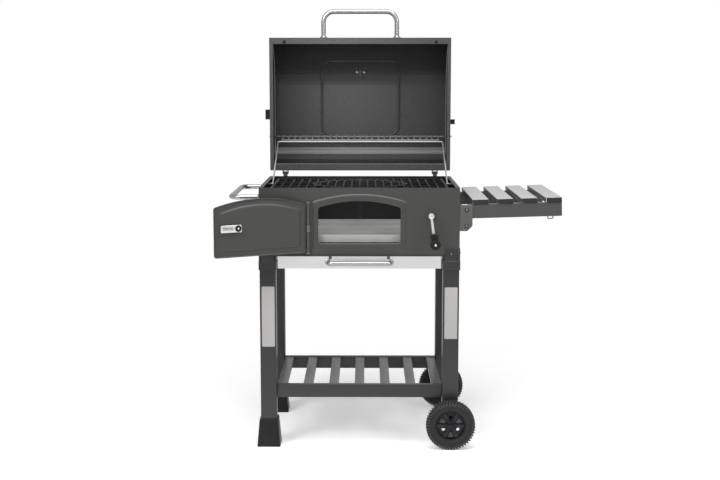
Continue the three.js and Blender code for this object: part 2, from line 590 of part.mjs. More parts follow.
function hingeLeaf(x) {
  const slope = LID.rearLean / LID.rear;
  const under = (y) => lidBottom - GAP + slope * (y - mouthY);
  const y0 = hingeY - LID_HINGE.leafFront;
  const y1 = hingeY + LID_HINGE.leafBack;
  const inner = LID_HINGE.knuckle + GAP;
  const half = inner + LID_HINGE.ear;
  const e = LID_HINGE.earHalf;
  const plate = alongX(polygon([[y0, under(y0) - LID_HINGE.plate], [y1, under(y1) - LID_HINGE.plate],
    [y1, under(y1)], [y0, under(y0)]]), x - half, x + half);
  const ear = polygon([[hingeY - e, hingeZ - e], [hingeY + e, hingeZ - e], [y1, under(y1) - BITE],
    [y0, under(y0) - BITE], [hingeY - e, hingeZ + e / 2]]);
  const ears = [-1, 1].map((side) => {
    const xs = [x + side * inner, x + side * half].sort((a, b) => a - b);
    return alongX(ear, ...xs);
  });
  return join(plate, ...ears, rod([x - half, hingeY, hingeZ], [x + half, hingeY, hingeZ], LID_HINGE.pin, 12));
}

// Round air vents on the lid's sides, each with an off-centre grip.
function ventCentre() {
  return { y: mouthY + VENT.back, z: lidBottom + VENT.up };
}

function ventDisc(side, gripTurn) {
  const at = ventCentre();
  const face = side * (LID.half + GAP);
  const axis = [side, 0, 0];
  let plate = turned(disc(VENT.radius, 0, VENT.thick), [face, at.y, at.z], axis, 24);
  for (let i = 0; i < VENT.ports; i += 1) {
    const turn = degrees(90 + gripTurn + 60 + i * 360 / VENT.ports);
    const y = at.y + VENT.portCircle * Math.cos(turn);
    const z = at.z + VENT.portCircle * Math.sin(turn);
    const ends = [-BAR_BITE, BAR_BITE].map((reach) => [face + reach, y, z]);
    plate = plate.subtract(rod(...ends, VENT.port, 12));
  }
  const grip = new THREE.BoxGeometry(VENT.knobOut, VENT.knobWide, VENT.knobLong);
  grip.translate(side * (VENT.thick + VENT.knobOut / 2 - BITE), -VENT.knobCircle, 0);
  grip.rotateX(degrees(gripTurn));
  grip.translate(face, at.y, at.z);
  return plate.add(solid(grip));
}

// ---------------------------------------------------------------- warming rack
function rackRearPoint() {
  const tilt = degrees(RACK.tilt);
  return { y: RACK.frontY + RACK.depth * Math.cos(tilt), z: RACK.frontZ + RACK.depth * Math.sin(tilt) };
}

function rackLegs() {
  const { pivotY, pivotZ, footHalf, topHalf } = RACK_LEG;
  const wallEnd = sideInside - GAP;
  const { frontY, frontZ } = RACK;
  const corners = [[-wallEnd, pivotY, pivotZ], [-footHalf, pivotY, pivotZ], [-topHalf, frontY, frontZ],
    [topHalf, frontY, frontZ], [footHalf, pivotY, pivotZ], [wallEnd, pivotY, pivotZ]];
  return bentRod(corners, RACK_LEG.wire, RACK_LEG.bend, 8, 3);
}

/** Built level about its front pivot; the group tilts it. */
function warmingRack() {
  const up = RACK_LEG.wire + RACK.rail + RACK.seat;
  const rails = [rod([-RACK.half, 0, up], [RACK.half, 0, up], RACK.rail, 6),
    rod([-RACK.rearHalf, RACK.depth, 0], [RACK.rearHalf, RACK.depth, 0], RACK.rail, 6)];
  const pitch = 2 * (RACK.half - RACK.end) / (RACK.count - 1);
  const past = RACK.past;
  const extra = past * up / RACK.depth;
  const lift = RACK.rail + RACK.wire - BITE;
  const wires = [];
  for (let i = 0; i < RACK.count; i += 1) {
    const x = (i - (RACK.count - 1) / 2) * pitch;
    wires.push(rod([x, -past, up + lift + extra], [x, RACK.depth + past, lift - extra], RACK.wire, 5));
  }
  return join(...rails, ...wires);
}

// ---------------------------------------------------------------- fire door
/** Built shut, with X from the hinge axis to the free edge and Y towards the back. */
function fireDoor() {
  const outline = (inset) => archShape(DOOR.start + inset, DOOR.end - inset, DOOR.bottom + inset,
    DOOR.shoulder - inset, DOOR.top - inset);
  const face = DOOR.face - DOOR.hingeY;
  const rimShape = outline(0);
  rimShape.holes.push(outline(DOOR.lipWidth));
  const leaf = join(alongY(outline(0), face, face + DOOR.leaf), alongY(rimShape, face, face + DOOR.lip));
  const barrels = [DOOR_HINGE.low, DOOR_HINGE.high].map(([z0, z1]) => {
    const strap = block(0, DOOR_HINGE.strap, face - DOOR_HINGE.strapThick, face + DOOR.leaf / 5, z0, z1);
    return join(turned(disc(DOOR_HINGE.radius, z0, z1), [0, 0, 0], [0, 0, 1], 16), strap)
      .subtract(rod([0, 0, z0 - BITE], [0, 0, z1 + BITE], DOOR_HINGE.pin + GAP, 12));
  });
  return join(leaf, ...barrels).subtract(
    rod([LATCH.from, face - BAR_BITE, LATCH.height], [LATCH.from, face + BAR_BITE, LATCH.height],
      LATCH.shaft + GAP, 12));
}

/** The hinge pin with three tabs that hold it to the front panel. */
function doorPost() {
  const { low, high, pin, past, radius } = DOOR_HINGE;
  const x = DOOR.hingeX;
  const y = DOOR.hingeY;
  const spans = [[low[0] - past, low[0] - GAP], [low[1] + DOOR_HINGE.play, high[0] - DOOR_HINGE.play],
    [high[1] + GAP, high[1] + past]];
  const tabs = spans.map(([z0, z1]) => join(turned(disc(radius, z0, z1), [x, y, 0], [0, 0, 1], 16),
    block(x - radius, x + radius, y, -GAP, z0, z1)));
  return join(rod([x, y, low[0] - past], [x, y, high[1] + past], pin, 12), ...tabs);
}

/** Latch built about the door's own axes: outer knob, shaft and inner tongue. */
function doorLatch() {
  const face = DOOR.face - DOOR.hingeY;
  const tongueY = SHEET + LATCH.tongueBack - DOOR.hingeY;
  const { from, height, tongue, tongueWide, tongueThick } = LATCH;
  const knob = turned([[0, GAP], [LATCH.knob - 5, GAP], [LATCH.knob - 7, 6], [LATCH.knob, 9],
    [LATCH.knob, LATCH.knobDeep - 2], [LATCH.knob - 2, LATCH.knobDeep], [0, LATCH.knobDeep]],
  [from, face, height], [0, -1, 0], 20);
  const shaft = rod([from, face - 2, height], [from, tongueY + tongueThick, height], LATCH.shaft, 12);
  const blade = alongY(rectangle(from - tongueWide / 2, from + tongue, height - tongueWide / 2,
    height + tongueWide / 2, LATCH.corner), tongueY, tongueY + tongueThick, 3);
  return join(knob, shaft, blade);
}

// ---------------------------------------------------------------- crank, pinion and tray lift
const pitchRadius = GEAR.teeth * GEAR.module / 2;
const rackX = CRANK.x - pitchRadius;
const gearY0 = SHEET + GEAR.inside;

/** Half the angle that a tooth takes up at a radius, from the involute of its base circle. */
function toothHalfAngle(radius) {
  const pressure = degrees(GEAR.pressure);
  const base = pitchRadius * Math.cos(pressure);
  const involute = (angle) => Math.tan(angle) - angle;
  const here = radius > base ? Math.acos(base / radius) : 0;
  const atPitch = Math.PI / (2 * GEAR.teeth) - GEAR.backlash / 2 / pitchRadius;
  return atPitch + involute(pressure) - involute(here);
}

function pinionShape() {
  const root = pitchRadius - GEAR.dedendum;
  const tip = pitchRadius + GEAR.addendum;
  const heights = [root, root + (tip - root) * 0.55, tip];
  const points = [];
  for (let i = 0; i < GEAR.teeth; i += 1) {
    const middle = i * 2 * Math.PI / GEAR.teeth + Math.PI;
    for (const r of heights) points.push([r, middle - toothHalfAngle(r)]);
    for (const r of [...heights].reverse()) points.push([r, middle + toothHalfAngle(r)]);
  }
  return polygon(points.map(([r, a]) => [CRANK.x + r * Math.cos(a), CRANK.z + r * Math.sin(a)]));
}

function crank() {
  const lean = degrees(CRANK.lean);
  const knobX = CRANK.x + CRANK.swing * Math.sin(lean);
  const knobZ = CRANK.z - CRANK.swing * Math.cos(lean);
  const y = -CRANK.out;
  const shaft = rod([CRANK.x, y, CRANK.z], [CRANK.x, CRANK.end, CRANK.z], CRANK.shaft, 16);
  const armY = y - CRANK.armOut;
  const arm = bentRod([[CRANK.x, y + CRANK.armIn, CRANK.z], [CRANK.x, armY, CRANK.z], [knobX, armY, knobZ],
    [knobX, y - CRANK.pinOut, knobZ]], CRANK.arm, CRANK.bend, 10, 4);
  const knob = turned([[0, 0], [CRANK.knob - 5, 0], [CRANK.knob, 6], [CRANK.knob, CRANK.knobDeep - 4],
    [CRANK.knob - 4, CRANK.knobDeep], [0, CRANK.knobDeep]],
  [knobX, y - CRANK.knobBack, knobZ], [0, -1, 0], 16);
  return join(shaft, arm, knob, alongY(pinionShape(), gearY0, gearY0 + GEAR.width));
}

function crankBush() {
  const bore = CRANK.shaft + GAP;
  return turned(washer(bore, CRANK.bush, GAP, CRANK.bushThick), [CRANK.x, 0, CRANK.z], [0, -1, 0], 24);
}

/** The toothed bar: teeth point right, at the pinion, and one gap is level with the crank axis's tooth. */
function toothedBar() {
  const pitch = Math.PI * GEAR.module;
  const slope = Math.tan(degrees(GEAR.pressure));
  const half = pitch / 4 - GEAR.backlash / 2;
  const x0 = rackX - GEAR.dedendum;
  const x1 = rackX + GEAR.addendum;
  const points = [[x0 - LIFT.rackBack, LIFT.top - LIFT.thick], [x0, LIFT.top - LIFT.thick]];
  const top = LIFT.top + LIFT.rise;
  const below = Math.floor((CRANK.z - LIFT.top - LIFT.toothFoot) / pitch);
  const above = Math.floor((top - CRANK.z - LIFT.toothHead) / pitch);
  for (let i = -below; i < above; i += 1) {
    const z = CRANK.z + (i + 0.5) * pitch;
    points.push([x0, z - half - GEAR.dedendum * slope], [x1, z - half + GEAR.addendum * slope],
      [x1, z + half - GEAR.addendum * slope], [x0, z + half + GEAR.dedendum * slope]);
  }
  points.push([x0, top], [x0 - LIFT.rackBack, top]);
  return alongY(polygon(points), gearY0 + BITE, gearY0 + GEAR.width - BITE);
}

function liftFrame() {
  const z0 = LIFT.top - LIFT.thick;
  const y0 = TRAY.front + LIFT.trayInset;
  const y1 = TRAY.back - LIFT.trayInset;
  const ring = rectangle(-LIFT.half, LIFT.half, y0, y1);
  ring.holes.push(rectangle(-LIFT.half + LIFT.bar, LIFT.half - LIFT.bar, y0 + LIFT.bar, y1 - LIFT.bar));
  const x0 = rackX - GEAR.dedendum - LIFT.rackBack;
  const toe = block(x0, rackX - GEAR.dedendum, gearY0 + BITE, y0 + LIFT.bar, z0, LIFT.top);
  const guideY = backInside - LIFT.guideBack;
  const heel = block(-LIFT.guide / 2, LIFT.guide / 2, y1 - LIFT.bar, guideY, z0, LIFT.top);
  const guide = block(-LIFT.guide / 2, LIFT.guide / 2, guideY - LIFT.guideWall, guideY, z0,
    LIFT.top + LIFT.guideRise);
  return join(alongZ(ring, z0, LIFT.top), toe, heel, guide, toothedBar());
}

function charcoalTray() {
  const z0 = LIFT.top + GAP;
  const w = TRAY.wall;
  let tray = block(-TRAY.half, TRAY.half, TRAY.front, TRAY.back, z0, z0 + TRAY.height)
    .subtract(block(-TRAY.half + w, TRAY.half - w, TRAY.front + w, TRAY.back - w, z0 + w,
      z0 + TRAY.height + BITE));
  for (let row = 0; row < TRAY.rows; row += 1) {
    for (let i = 0; i < TRAY.slots; i += 1) {
      const x = (i - (TRAY.slots - 1) / 2) * (TRAY.half * 2 / TRAY.slots);
      const y = (TRAY.front + TRAY.back) / 2 + (row - (TRAY.rows - 1) / 2) * TRAY.rowPitch;
      tray = tray.subtract(block(x - TRAY.slot / 2, x + TRAY.slot / 2, y - TRAY.slotWide / 2,
        y + TRAY.slotWide / 2, z0 - BITE, z0 + w + BITE));
    }
  }
  return tray;
}

// ---------------------------------------------------------------- cooking grates
const grateY = (GRATE.front + GRATE.back) / 2;
const grateBottom = GRATE.top - GRATE.thick;

/** A cast plate with a rectangle of openings, which leave a frame and straight ribs. */
function ribbedPlate(x0, x1, y0, y1, z0 = grateBottom) {
  const columns = Math.max(1, Math.round((x1 - x0 - 2 * GRATE.frame + GRATE.rib) / GRATE.cell));
  const cellX = (x1 - x0 - 2 * GRATE.frame + GRATE.rib) / columns;
  const cellY = (y1 - y0 - 2 * GRATE.frame + GRATE.rib) / GRATE.rows;
  const openings = [];
  for (let i = 0; i < columns; i += 1) {
    for (let j = 0; j < GRATE.rows; j += 1) {
      const x = x0 + GRATE.frame + i * cellX;
      const y = y0 + GRATE.frame + j * cellY;
      openings.push(block(x, x + cellX - GRATE.rib, y, y + cellY - GRATE.rib, z0 - BITE, GRATE.top + BITE));
    }
  }
  return block(x0, x1, y0, y1, z0, GRATE.top).subtract(join(...openings));
}

/** A disc about the middle of the grate, with an optional round hole. */
function grateDisc(z0, z1, outer, inner = 0) {
  const circle = (radius) => polygon(Array.from({ length: GRATE.sides }, (_, i) => {
    const turn = (i + 0.5) * 2 * Math.PI / GRATE.sides;
    return [radius * Math.cos(turn), grateY + radius * Math.sin(turn)];
  }));
  const shape = circle(outer);
  if (inner > 0) shape.holes.push(circle(inner));
  return alongZ(shape, z0, z1);
}

/** A side grate, cut out round the insert, with a rebated ring that carries the insert. */
function sideGrate(side) {
  const [x0, x1] = [side * GRATE.seam / 2, side * GRATE.half].sort((a, b) => a - b);
  const r = GRATE.round;
  const seam = [side * (GRATE.seam / 2 + GRATE.shy), side * GRATE.half].sort((a, b) => a - b);
  const half = block(...seam, GRATE.front, GRATE.back, grateBottom - BITE, GRATE.top + BITE);
  const well = grateDisc(grateBottom - BITE, GRATE.top + BITE, r + GRATE.ring / 2);
  const low = grateBottom + GRATE.shy;
  const ring = join(grateDisc(low, low + GRATE.rebate, r + GRATE.ring, r - GRATE.ring),
    grateDisc(low + GRATE.rebate - BITE, GRATE.top - GRATE.shy, r + GRATE.ring - GRATE.shy, r));
  return ribbedPlate(x0, x1, GRATE.front, GRATE.back).subtract(well).add(ring.intersect(half));
}

function roundInsert() {
  const r = GRATE.round - GRATE.play;
  const low = grateBottom + GRATE.shy + GRATE.rebate + GAP;
  const reach = r + GRATE.frame;
  const ribs = ribbedPlate(-r - GRATE.cell / 2, r + GRATE.cell / 2, grateY - reach, grateY + reach,
    low + GRATE.shy).intersect(grateDisc(low, GRATE.top + BITE, r - GRATE.frame / 2));
  return join(grateDisc(low, GRATE.top - GRATE.shy, r, r - GRATE.frame), ribs);
}

// ---------------------------------------------------------------- side shelf
function tableBracket(rear) {
  const plateY = rear ? [TABLE.depth - BRACKET.thick, TABLE.depth] : [0, BRACKET.thick];
  const flangeY = rear ? [TABLE.depth - BRACKET.flange, TABLE.depth] : [0, BRACKET.flange];
  const x0 = halfWidth + GAP;
  const { bottom, top, reach, cut } = BRACKET;
  const plate = alongY(polygon([[x0, bottom], [reach - cut, bottom], [reach, bottom + cut], [reach, top],
    [x0, top]]), ...plateY);
  const flange = block(x0, x0 + BRACKET.thick - GAP, ...flangeY, bottom, top);
  const pin = TABLE.beam - TABLE.pivotPast;
  const pinY = rear ? [TABLE.depth - pin, TABLE.depth] : [0, pin];
  return join(plate, flange, rod([TABLE.pivotX, pinY[0], TABLE.pivotZ], [TABLE.pivotX, pinY[1], TABLE.pivotZ],
    TABLE.pivot, 12));
}

/** The folding frame, built level about its pivot: two beams, two ties and a wire tool hook. */
function tableFrame() {
  const x0 = TABLE.beamStart - TABLE.pivotX;
  const x1 = TABLE.start + (TABLE.slats - 1) * TABLE.pitch + TABLE.slat - TABLE.pivotX;
  const top = TABLE.beamTop - TABLE.pivotZ;
  const bottom = TABLE.beamBottom - TABLE.pivotZ;
  const yFront = BRACKET.thick + TABLE.play;
  const yBack = TABLE.depth - BRACKET.thick - TABLE.play;
  const beams = [[yFront, yFront + TABLE.beam], [yBack - TABLE.beam, yBack]]
    .map(([y0, y1]) => alongX(channelShape(y0, y1, bottom, top, TABLE.wall), x0, x1));
  const ties = [TABLE.start - TABLE.pivotX + TABLE.tieInset, x1 - TABLE.tie - TABLE.tieInset]
    .map((x) => block(x, x + TABLE.tie, yFront + TABLE.tieEnd, yBack - TABLE.tieEnd, top - TABLE.wall, top));
  const [hook0, hook1] = [-0.5, 0.5].map((end) => HOOK.at - TABLE.pivotX + end * HOOK.span);
  const hookY = yFront + TABLE.wall / 2;
  const [hookTop, hookLow] = [bottom + HOOK.root, bottom - HOOK.drop];
  const hook = bentRod([[hook0, hookY, hookTop], [hook0, hookY, hookLow], [hook1, hookY, hookLow],
    [hook1, hookY, hookTop]], HOOK.wire, HOOK.bend, 6, 2);
  return join(...beams, ...ties, hook).subtract(
    rod([0, -BAR_BITE, 0], [0, TABLE.depth + BAR_BITE, 0], TABLE.pivot + 2 * GAP, 12));
}

function tableSlat(index) {
  const x = TABLE.start + index * TABLE.pitch - TABLE.pivotX;
  const bottom = TABLE.beamTop + GAP - TABLE.pivotZ;
  return alongY(channelShape(x, x + TABLE.slat, bottom, tableTop - TABLE.pivotZ, TABLE.wall), 0, TABLE.depth);
}

// ---------------------------------------------------------------- assembly
const barbecue = new THREE.Group();

const cart = new THREE.Group();
cart.add(
  part('firebox_front_panel', frontPanel(), paint),
  part('firebox_back_panel', backPanel(), paint),
  part('firebox_left_panel', sidePanel(-1), paint),
  part('firebox_right_panel', sidePanel(1), paint),
  part('firebox_floor', floorPanel(), paint),
  part('front_left_leg', leg(-1, false, FOOT.sole + GAP), legPaint),
  part('front_right_leg', leg(1, false, LEG.shortBottom), legPaint),
  part('rear_left_leg', leg(-1, true, FOOT.sole + GAP), legPaint),
  part('rear_right_leg', leg(1, true, LEG.shortBottom), legPaint),
  part('front_foot', foot(false), plastic),
  part('rear_foot', foot(true), plastic),
  part('axle', axle(), zinc),
  part('lower_shelf_front_rail', shelfRail(railFrontY), paint),
  part('lower_shelf_rear_rail', shelfRail(railBackY), paint),
  part('push_handle', pushHandle(), chrome),
  part('left_drawer_runner', drawerRunner(-1), zinc),
  part('right_drawer_runner', drawerRunner(1), zinc),
  part('left_lid_hinge_base', hingeBase(-LID_HINGE.place), legPaint),
  part('right_lid_hinge_base', hingeBase(LID_HINGE.place), legPaint),
  part('door_hinge_pin', doorPost(), legPaint),
  part('crank_bush', crankBush(), zinc),
  part('front_side_shelf_bracket', tableBracket(false), legPaint),
  part('rear_side_shelf_bracket', tableBracket(true), legPaint),
);
for (let i = 0; i < SHELF.slats; i += 1) cart.add(part(`lower_shelf_slat_${i + 1}`, shelfSlat(i), paint));

const lid = new THREE.Group();
lid.add(
  part('lid_panel', lidPanel(), paint),
  part('lid_left_side', lidSide(-1), paint),
  part('lid_right_side', lidSide(1), paint),
  part('lid_handle', lidHandle(), chrome),
  part('thermometer', thermometer(), zinc),
  part('left_lid_hinge_leaf', hingeLeaf(-LID_HINGE.place), legPaint),
  part('right_lid_hinge_leaf', hingeLeaf(LID_HINGE.place), legPaint),
  part('left_lid_vent', ventDisc(-1, 0), plastic),
  part('right_lid_vent', ventDisc(1, 90), plastic),
);

const rack = new THREE.Group();
rack.position.set(0, RACK.frontY, RACK.frontZ);
rack.rotation.x = degrees(RACK.tilt);
rack.add(part('warming_rack', warmingRack(), chrome));

const door = new THREE.Group();
door.position.set(DOOR.hingeX, DOOR.hingeY, 0);
door.rotation.z = degrees(-DOOR.open);
door.add(part('fire_door', fireDoor(), paint), part('door_latch', doorLatch(), plastic));

const table = new THREE.Group();
table.position.set(TABLE.pivotX, 0, TABLE.pivotZ);
table.rotation.y = degrees(-TABLE.rise);
table.add(part('side_shelf_frame', tableFrame(), paint));
for (let i = 0; i < TABLE.slats; i += 1) table.add(part(`side_shelf_slat_${i + 1}`, tableSlat(i), silver));

barbecue.add(
  cart, lid, rack, door, table,
  part('rack_legs', rackLegs(), chrome),
  part('crank', crank(), zinc),
  part('lift_frame', liftFrame(), zinc),
  part('charcoal_tray', charcoalTray(), paint),
  part('ash_drawer', ashDrawer(), zinc),
  part('drawer_handle', drawerHandle(), chrome),
  part('left_grate', sideGrate(-1), castIron),
  part('right_grate', sideGrate(1), castIron),
  part('round_grate_insert', roundInsert(), castIron),
  part('front_tyre', tyre(wheelFrontY), rubber),
  part('front_rim', rim(wheelFrontY), plastic),
  part('rear_tyre', tyre(wheelBackY), rubber),
  part('rear_rim', rim(wheelBackY), plastic),
);

// The origin is the middle of the whole object's outline, on the ground.
const bounds = new THREE.Box3().setFromObject(barbecue, true);
const middle = bounds.getCenter(new THREE.Vector3());
barbecue.position.set(-middle.x, -middle.y, -bounds.min.z);

export default barbecue;
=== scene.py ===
"""Looks of a charcoal trolley barbecue: pressed and powder-coated sheet, cast grates, chromed tube and wire,
galvanised drawer, moulded plastic and rubber. Lengths are in millimetres about the middle of the fire box's
front sheet, at floor level, until a piece is made; then they are metres in the frame."""
import json
import math

import bmesh
import bpy
import numpy as np
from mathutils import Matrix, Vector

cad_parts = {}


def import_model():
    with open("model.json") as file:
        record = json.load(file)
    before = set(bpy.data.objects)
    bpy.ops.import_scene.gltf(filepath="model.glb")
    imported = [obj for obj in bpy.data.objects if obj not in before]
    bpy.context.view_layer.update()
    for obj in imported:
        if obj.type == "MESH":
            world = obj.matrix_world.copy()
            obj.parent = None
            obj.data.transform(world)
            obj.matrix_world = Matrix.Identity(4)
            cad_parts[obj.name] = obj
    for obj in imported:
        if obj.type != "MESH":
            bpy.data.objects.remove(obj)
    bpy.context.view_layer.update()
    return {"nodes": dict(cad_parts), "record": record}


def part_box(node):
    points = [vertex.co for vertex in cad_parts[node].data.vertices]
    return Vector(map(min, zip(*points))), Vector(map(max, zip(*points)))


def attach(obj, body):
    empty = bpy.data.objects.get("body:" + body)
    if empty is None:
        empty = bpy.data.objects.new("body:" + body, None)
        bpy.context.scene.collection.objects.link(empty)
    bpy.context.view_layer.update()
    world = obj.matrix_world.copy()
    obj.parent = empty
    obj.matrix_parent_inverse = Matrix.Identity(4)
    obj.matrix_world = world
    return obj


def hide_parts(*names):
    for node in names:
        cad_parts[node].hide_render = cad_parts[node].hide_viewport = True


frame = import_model()

MM = 0.001
SHEET = 1.5  # thickness of the sheets
GAP = 0.3  # between a leg and the tabs on it
PROUD = 3.0  # how far the mouth's frame stands out of the front sheet
TAU = 2 * math.pi
ACROSS, DEPTH, UP = np.eye(3)

record = frame["record"]
SLOT_OF = {s["node"]: s["material_slot"] for s in record["subparts"]}
BODY_OF = {n: body for body, nodes in record["behaviour"]["bodies"].items() for n in nodes}

panel_low, panel_high = (np.array(corner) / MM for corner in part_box("firebox_front_panel"))
HOME = np.array([(panel_low[0] + panel_high[0]) / 2, panel_low[1] + PROUD, 0.0])


def home(node):
    """A node's lowest and highest corners, in millimetres about the home point."""
    return [np.array(corner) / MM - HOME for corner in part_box(node)]


PANEL = home("firebox_front_panel")
HALF = PANEL[1][0]
RIM = PANEL[1][2]
BASE = PANEL[0][2]
BACK = home("firebox_back_panel")[1][1]


# ------------------------------------------------------------------ camera
EYE = np.array([22.0, -3830.0, 1155.0])
LENS, SENSOR = 62.5, 36
LOOK_DOWN, LOOK_LEFT = 7.42, 0.3


def camera():
    """The viewpoint: chest high, almost four metres in front, looking slightly down."""
    data = bpy.data.cameras.new("camera")
    data.lens = LENS
    data.sensor_width = SENSOR
    eye = bpy.data.objects.new("camera", data)
    eye.location = (HOME + EYE) * MM
    eye.rotation_euler = (math.radians(90 - LOOK_DOWN), 0, math.radians(LOOK_LEFT))
    bpy.context.collection.objects.link(eye)
    bpy.context.scene.camera = eye


camera()


# ------------------------------------------------------------------ outlines and paths
def unit(vectors):
    vectors = np.asarray(vectors, float)
    return vectors / np.maximum(np.linalg.norm(vectors, axis=-1, keepdims=True), 1e-12)


def arc(corner, before, after, radius, steps):
    """The round that replaces a corner: its centre lies on the bisector, and it starts and ends where it
    touches the two sides."""
    back, ahead = unit(before - corner), unit(after - corner)
    half = math.acos(np.clip(back @ ahead, -1, 1)) / 2
    middle = corner + unit(back + ahead) * radius / math.sin(half)
    out = unit(corner + back * radius / math.tan(half) - middle)
    t = np.linspace(0, math.pi - 2 * half, steps)[:, None]
    return middle + radius * (np.cos(t) * out - np.sin(t) * back)


def bent(corners, radius, steps=9):
    """An open path through corner points, with each inner corner rounded to the radius."""
    c = np.asarray(corners, float)
    rounds = [arc(c[i], c[i - 1], c[i + 1], radius, steps) for i in range(1, len(c) - 1)]
    return np.concatenate([c[:1], *rounds, c[-1:]])


def outline(corners, radii, steps=6):
    """A closed outline through corner points; a corner with no radius stays sharp."""
    c = np.asarray(corners, float)
    radii = np.broadcast_to(radii, len(c))
    rounds = [arc(c[i], c[i - 1], c[(i + 1) % len(c)], radii[i], steps) if radii[i] > 0 else c[i:i + 1]
              for i in range(len(c))]
    return np.concatenate(rounds)


def rounded(x0, x1, y0, y1, radius, steps=6):
    """A rectangle with round corners, counter-clockwise."""
    return outline([(x0, y0), (x1, y0), (x1, y1), (x0, y1)], radius, steps)


def arch(x0, x1, bottom, shoulder, top, foot=6.0, corner=6.0):
    """A rectangle whose top is a shallow parabola: height = top - (top - shoulder) * u^2, u from 1 to -1."""
    u = np.linspace(1, -1, 27)[1:-1]
    crown = np.stack([(x0 + x1) / 2 + u * (x1 - x0) / 2, top - (top - shoulder) * u ** 2], -1)
    corners = np.concatenate([[(x0, bottom), (x1, bottom), (x1, shoulder)], crown, [(x0, shoulder)]])
    radii = np.zeros(len(corners))
    radii[[0, 1]] = foot
    radii[[2, -1]] = corner
    return outline(corners, radii)


def inset(shape, amount):
    """A closed counter-clockwise outline moved inwards: each point goes along the mean of the normals of its
    two edges, divided by one plus their cosine."""
    edge = unit(np.roll(shape, -1, 0) - shape)
    normal = np.stack([-edge[:, 1], edge[:, 0]], -1)
    before = np.roll(normal, 1, 0)
    cosine = (normal * before).sum(-1, keepdims=True)
    return shape + (normal + before) / (1 + cosine) * amount


def spun(shape, angle):
    """An outline turned about its origin."""
    c, s = math.cos(angle), math.sin(angle)
    return shape @ np.array([(c, s), (-s, c)])


# ------------------------------------------------------------------ surfaces
def quads(rows, columns, closed=False):
    """The four-sided faces of a grid of points. Each row runs round to its own start, and in a closed grid
    the last row joins the first."""
    i = np.arange(rows if closed else rows - 1)[:, None]
    j = np.arange(columns)[None]
    i2, j2 = (i + 1) % rows, (j + 1) % columns
    cells = np.broadcast_arrays(i * columns + j, i2 * columns + j, i2 * columns + j2, i * columns + j2)
    return np.stack(cells, -1).reshape(-1, 4)


def skin(points, closed=False):
    """A grid of points as a surface; one that isn't closed has a flat face over each end row."""
    rows, columns = points.shape[:2]
    faces = [quads(rows, columns, closed)]
    if not closed:
        faces += [np.arange(columns)[None], np.arange((rows - 1) * columns, rows * columns)[None]]
    return points.reshape(-1, 3), faces


def circle(u, v, sides):
    """Unit directions all round, from one axis towards another."""
    a = np.arange(sides) * TAU / sides
    return np.cos(a)[:, None] * u + np.sin(a)[:, None] * v


def tube(path, radius, side, sides=20):
    """A round bar: at each path point, a circle across the mean of the two directions there. The path lies in
    one plane, and side is that plane's normal."""
    step = unit(np.diff(path, axis=0))
    along = unit(np.concatenate([step[:1], step[:-1] + step[1:], step[-1:]]))
    side = unit(side)
    radius = np.broadcast_to(radius, len(path))[:, None, None]
    return skin(path[:, None] + radius * circle(side, np.cross(side, along)[:, None], sides))


def across(axis):
    """Two unit directions at right angles to an axis."""
    axis = unit(axis)
    first = unit(np.cross(axis, [0, 0, 1] if abs(axis[2]) < 0.9 else [1, 0, 0]))
    return first, np.cross(axis, first)


def revolved(profile, centre, axis, ring):
    """(radius, height) points carried round an axis through a centre, by a ring of unit directions."""
    profile = np.asarray(profile, float)
    return np.asarray(centre, float) + profile[:, 1, None, None] * axis + profile[:, 0, None, None] * ring


def turned(profile, centre, axis, sides=32):
    """A solid turned piece, whose profile starts and ends on the axis."""
    return skin(revolved(profile, centre, unit(axis), circle(*across(axis), sides)))


def hoop(section, centre, axis, u, v, sides):
    """A closed section carried round an axis, from direction u towards v."""
    return skin(revolved(section, centre, axis, circle(u, v, sides)), closed=True)


def wheel_hoop(section, centre, sides=96):
    """A closed section carried round an axle that runs along the depth."""
    return hoop(section, centre, DEPTH, ACROSS, UP, sides)


def stacked(shape, levels, place):
    """Copies of an outline, one above another: a level is (how far inwards, how high), and place puts an
    outline point and a height into space."""
    rows = [place(*inset(shape, inwards).T, np.full(len(shape), height)) for inwards, height in levels]
    return skin(np.stack([np.stack(row, -1) for row in rows]))


def slab(shape, low, high, place, soft=0.8):
    """A plate with an outline between two heights, its edges rounded by a quarter circle of three steps."""
    soft = min(soft, (high - low) / 2.01)
    turn = np.linspace(0, math.pi / 2, 4)
    foot = [(soft * (1 - math.sin(t)), low + soft * (1 - math.cos(t))) for t in turn]
    head = [(soft * (1 - math.cos(t)), high - soft * (1 - math.sin(t))) for t in turn]
    return stacked(shape, foot + head, place)


def flat_xy(x, y, h):
    return x, y, h


def flat_xz(x, z, h):
    return x, h, z


def flat_yz(y, z, h):
    return h, y, z


def block(x, y, z, radius=1.0, soft=0.8):
    """A box with round corners in plan and soft edges above and below."""
    return slab(rounded(*x, *y, radius, 4), *z, flat_xy, soft)


def bolt(centre, axis, radius, high, seat=0.0):
    """A pan head, its dome a quarter of an ellipse, over a flat washer if it has a seat."""
    quarter = np.linspace(0, math.pi / 2, 6)
    dome = [(radius * math.cos(t), high * (0.45 + 0.55 * math.sin(t))) for t in quarter]
    dome[-1] = (0, high)
    parts = [turned([(0, 0), (radius, 0), *dome], centre, axis, 20)]
    if seat:
        washer = [(0, 0), (seat + 1.2, 0), (seat + 1.6, 0.4), (seat + 1.2, 0.9), (0, 0.9)]
        parts.append(turned(washer, centre, axis, 24))
    return parts


# ------------------------------------------------------------------ making pieces
SHARP_FROM = math.radians(38)  # edges bent more than this stay sharp in a made piece
BEVEL_FROM = math.radians(30)  # and edges bent more than this are rounded in a copied one


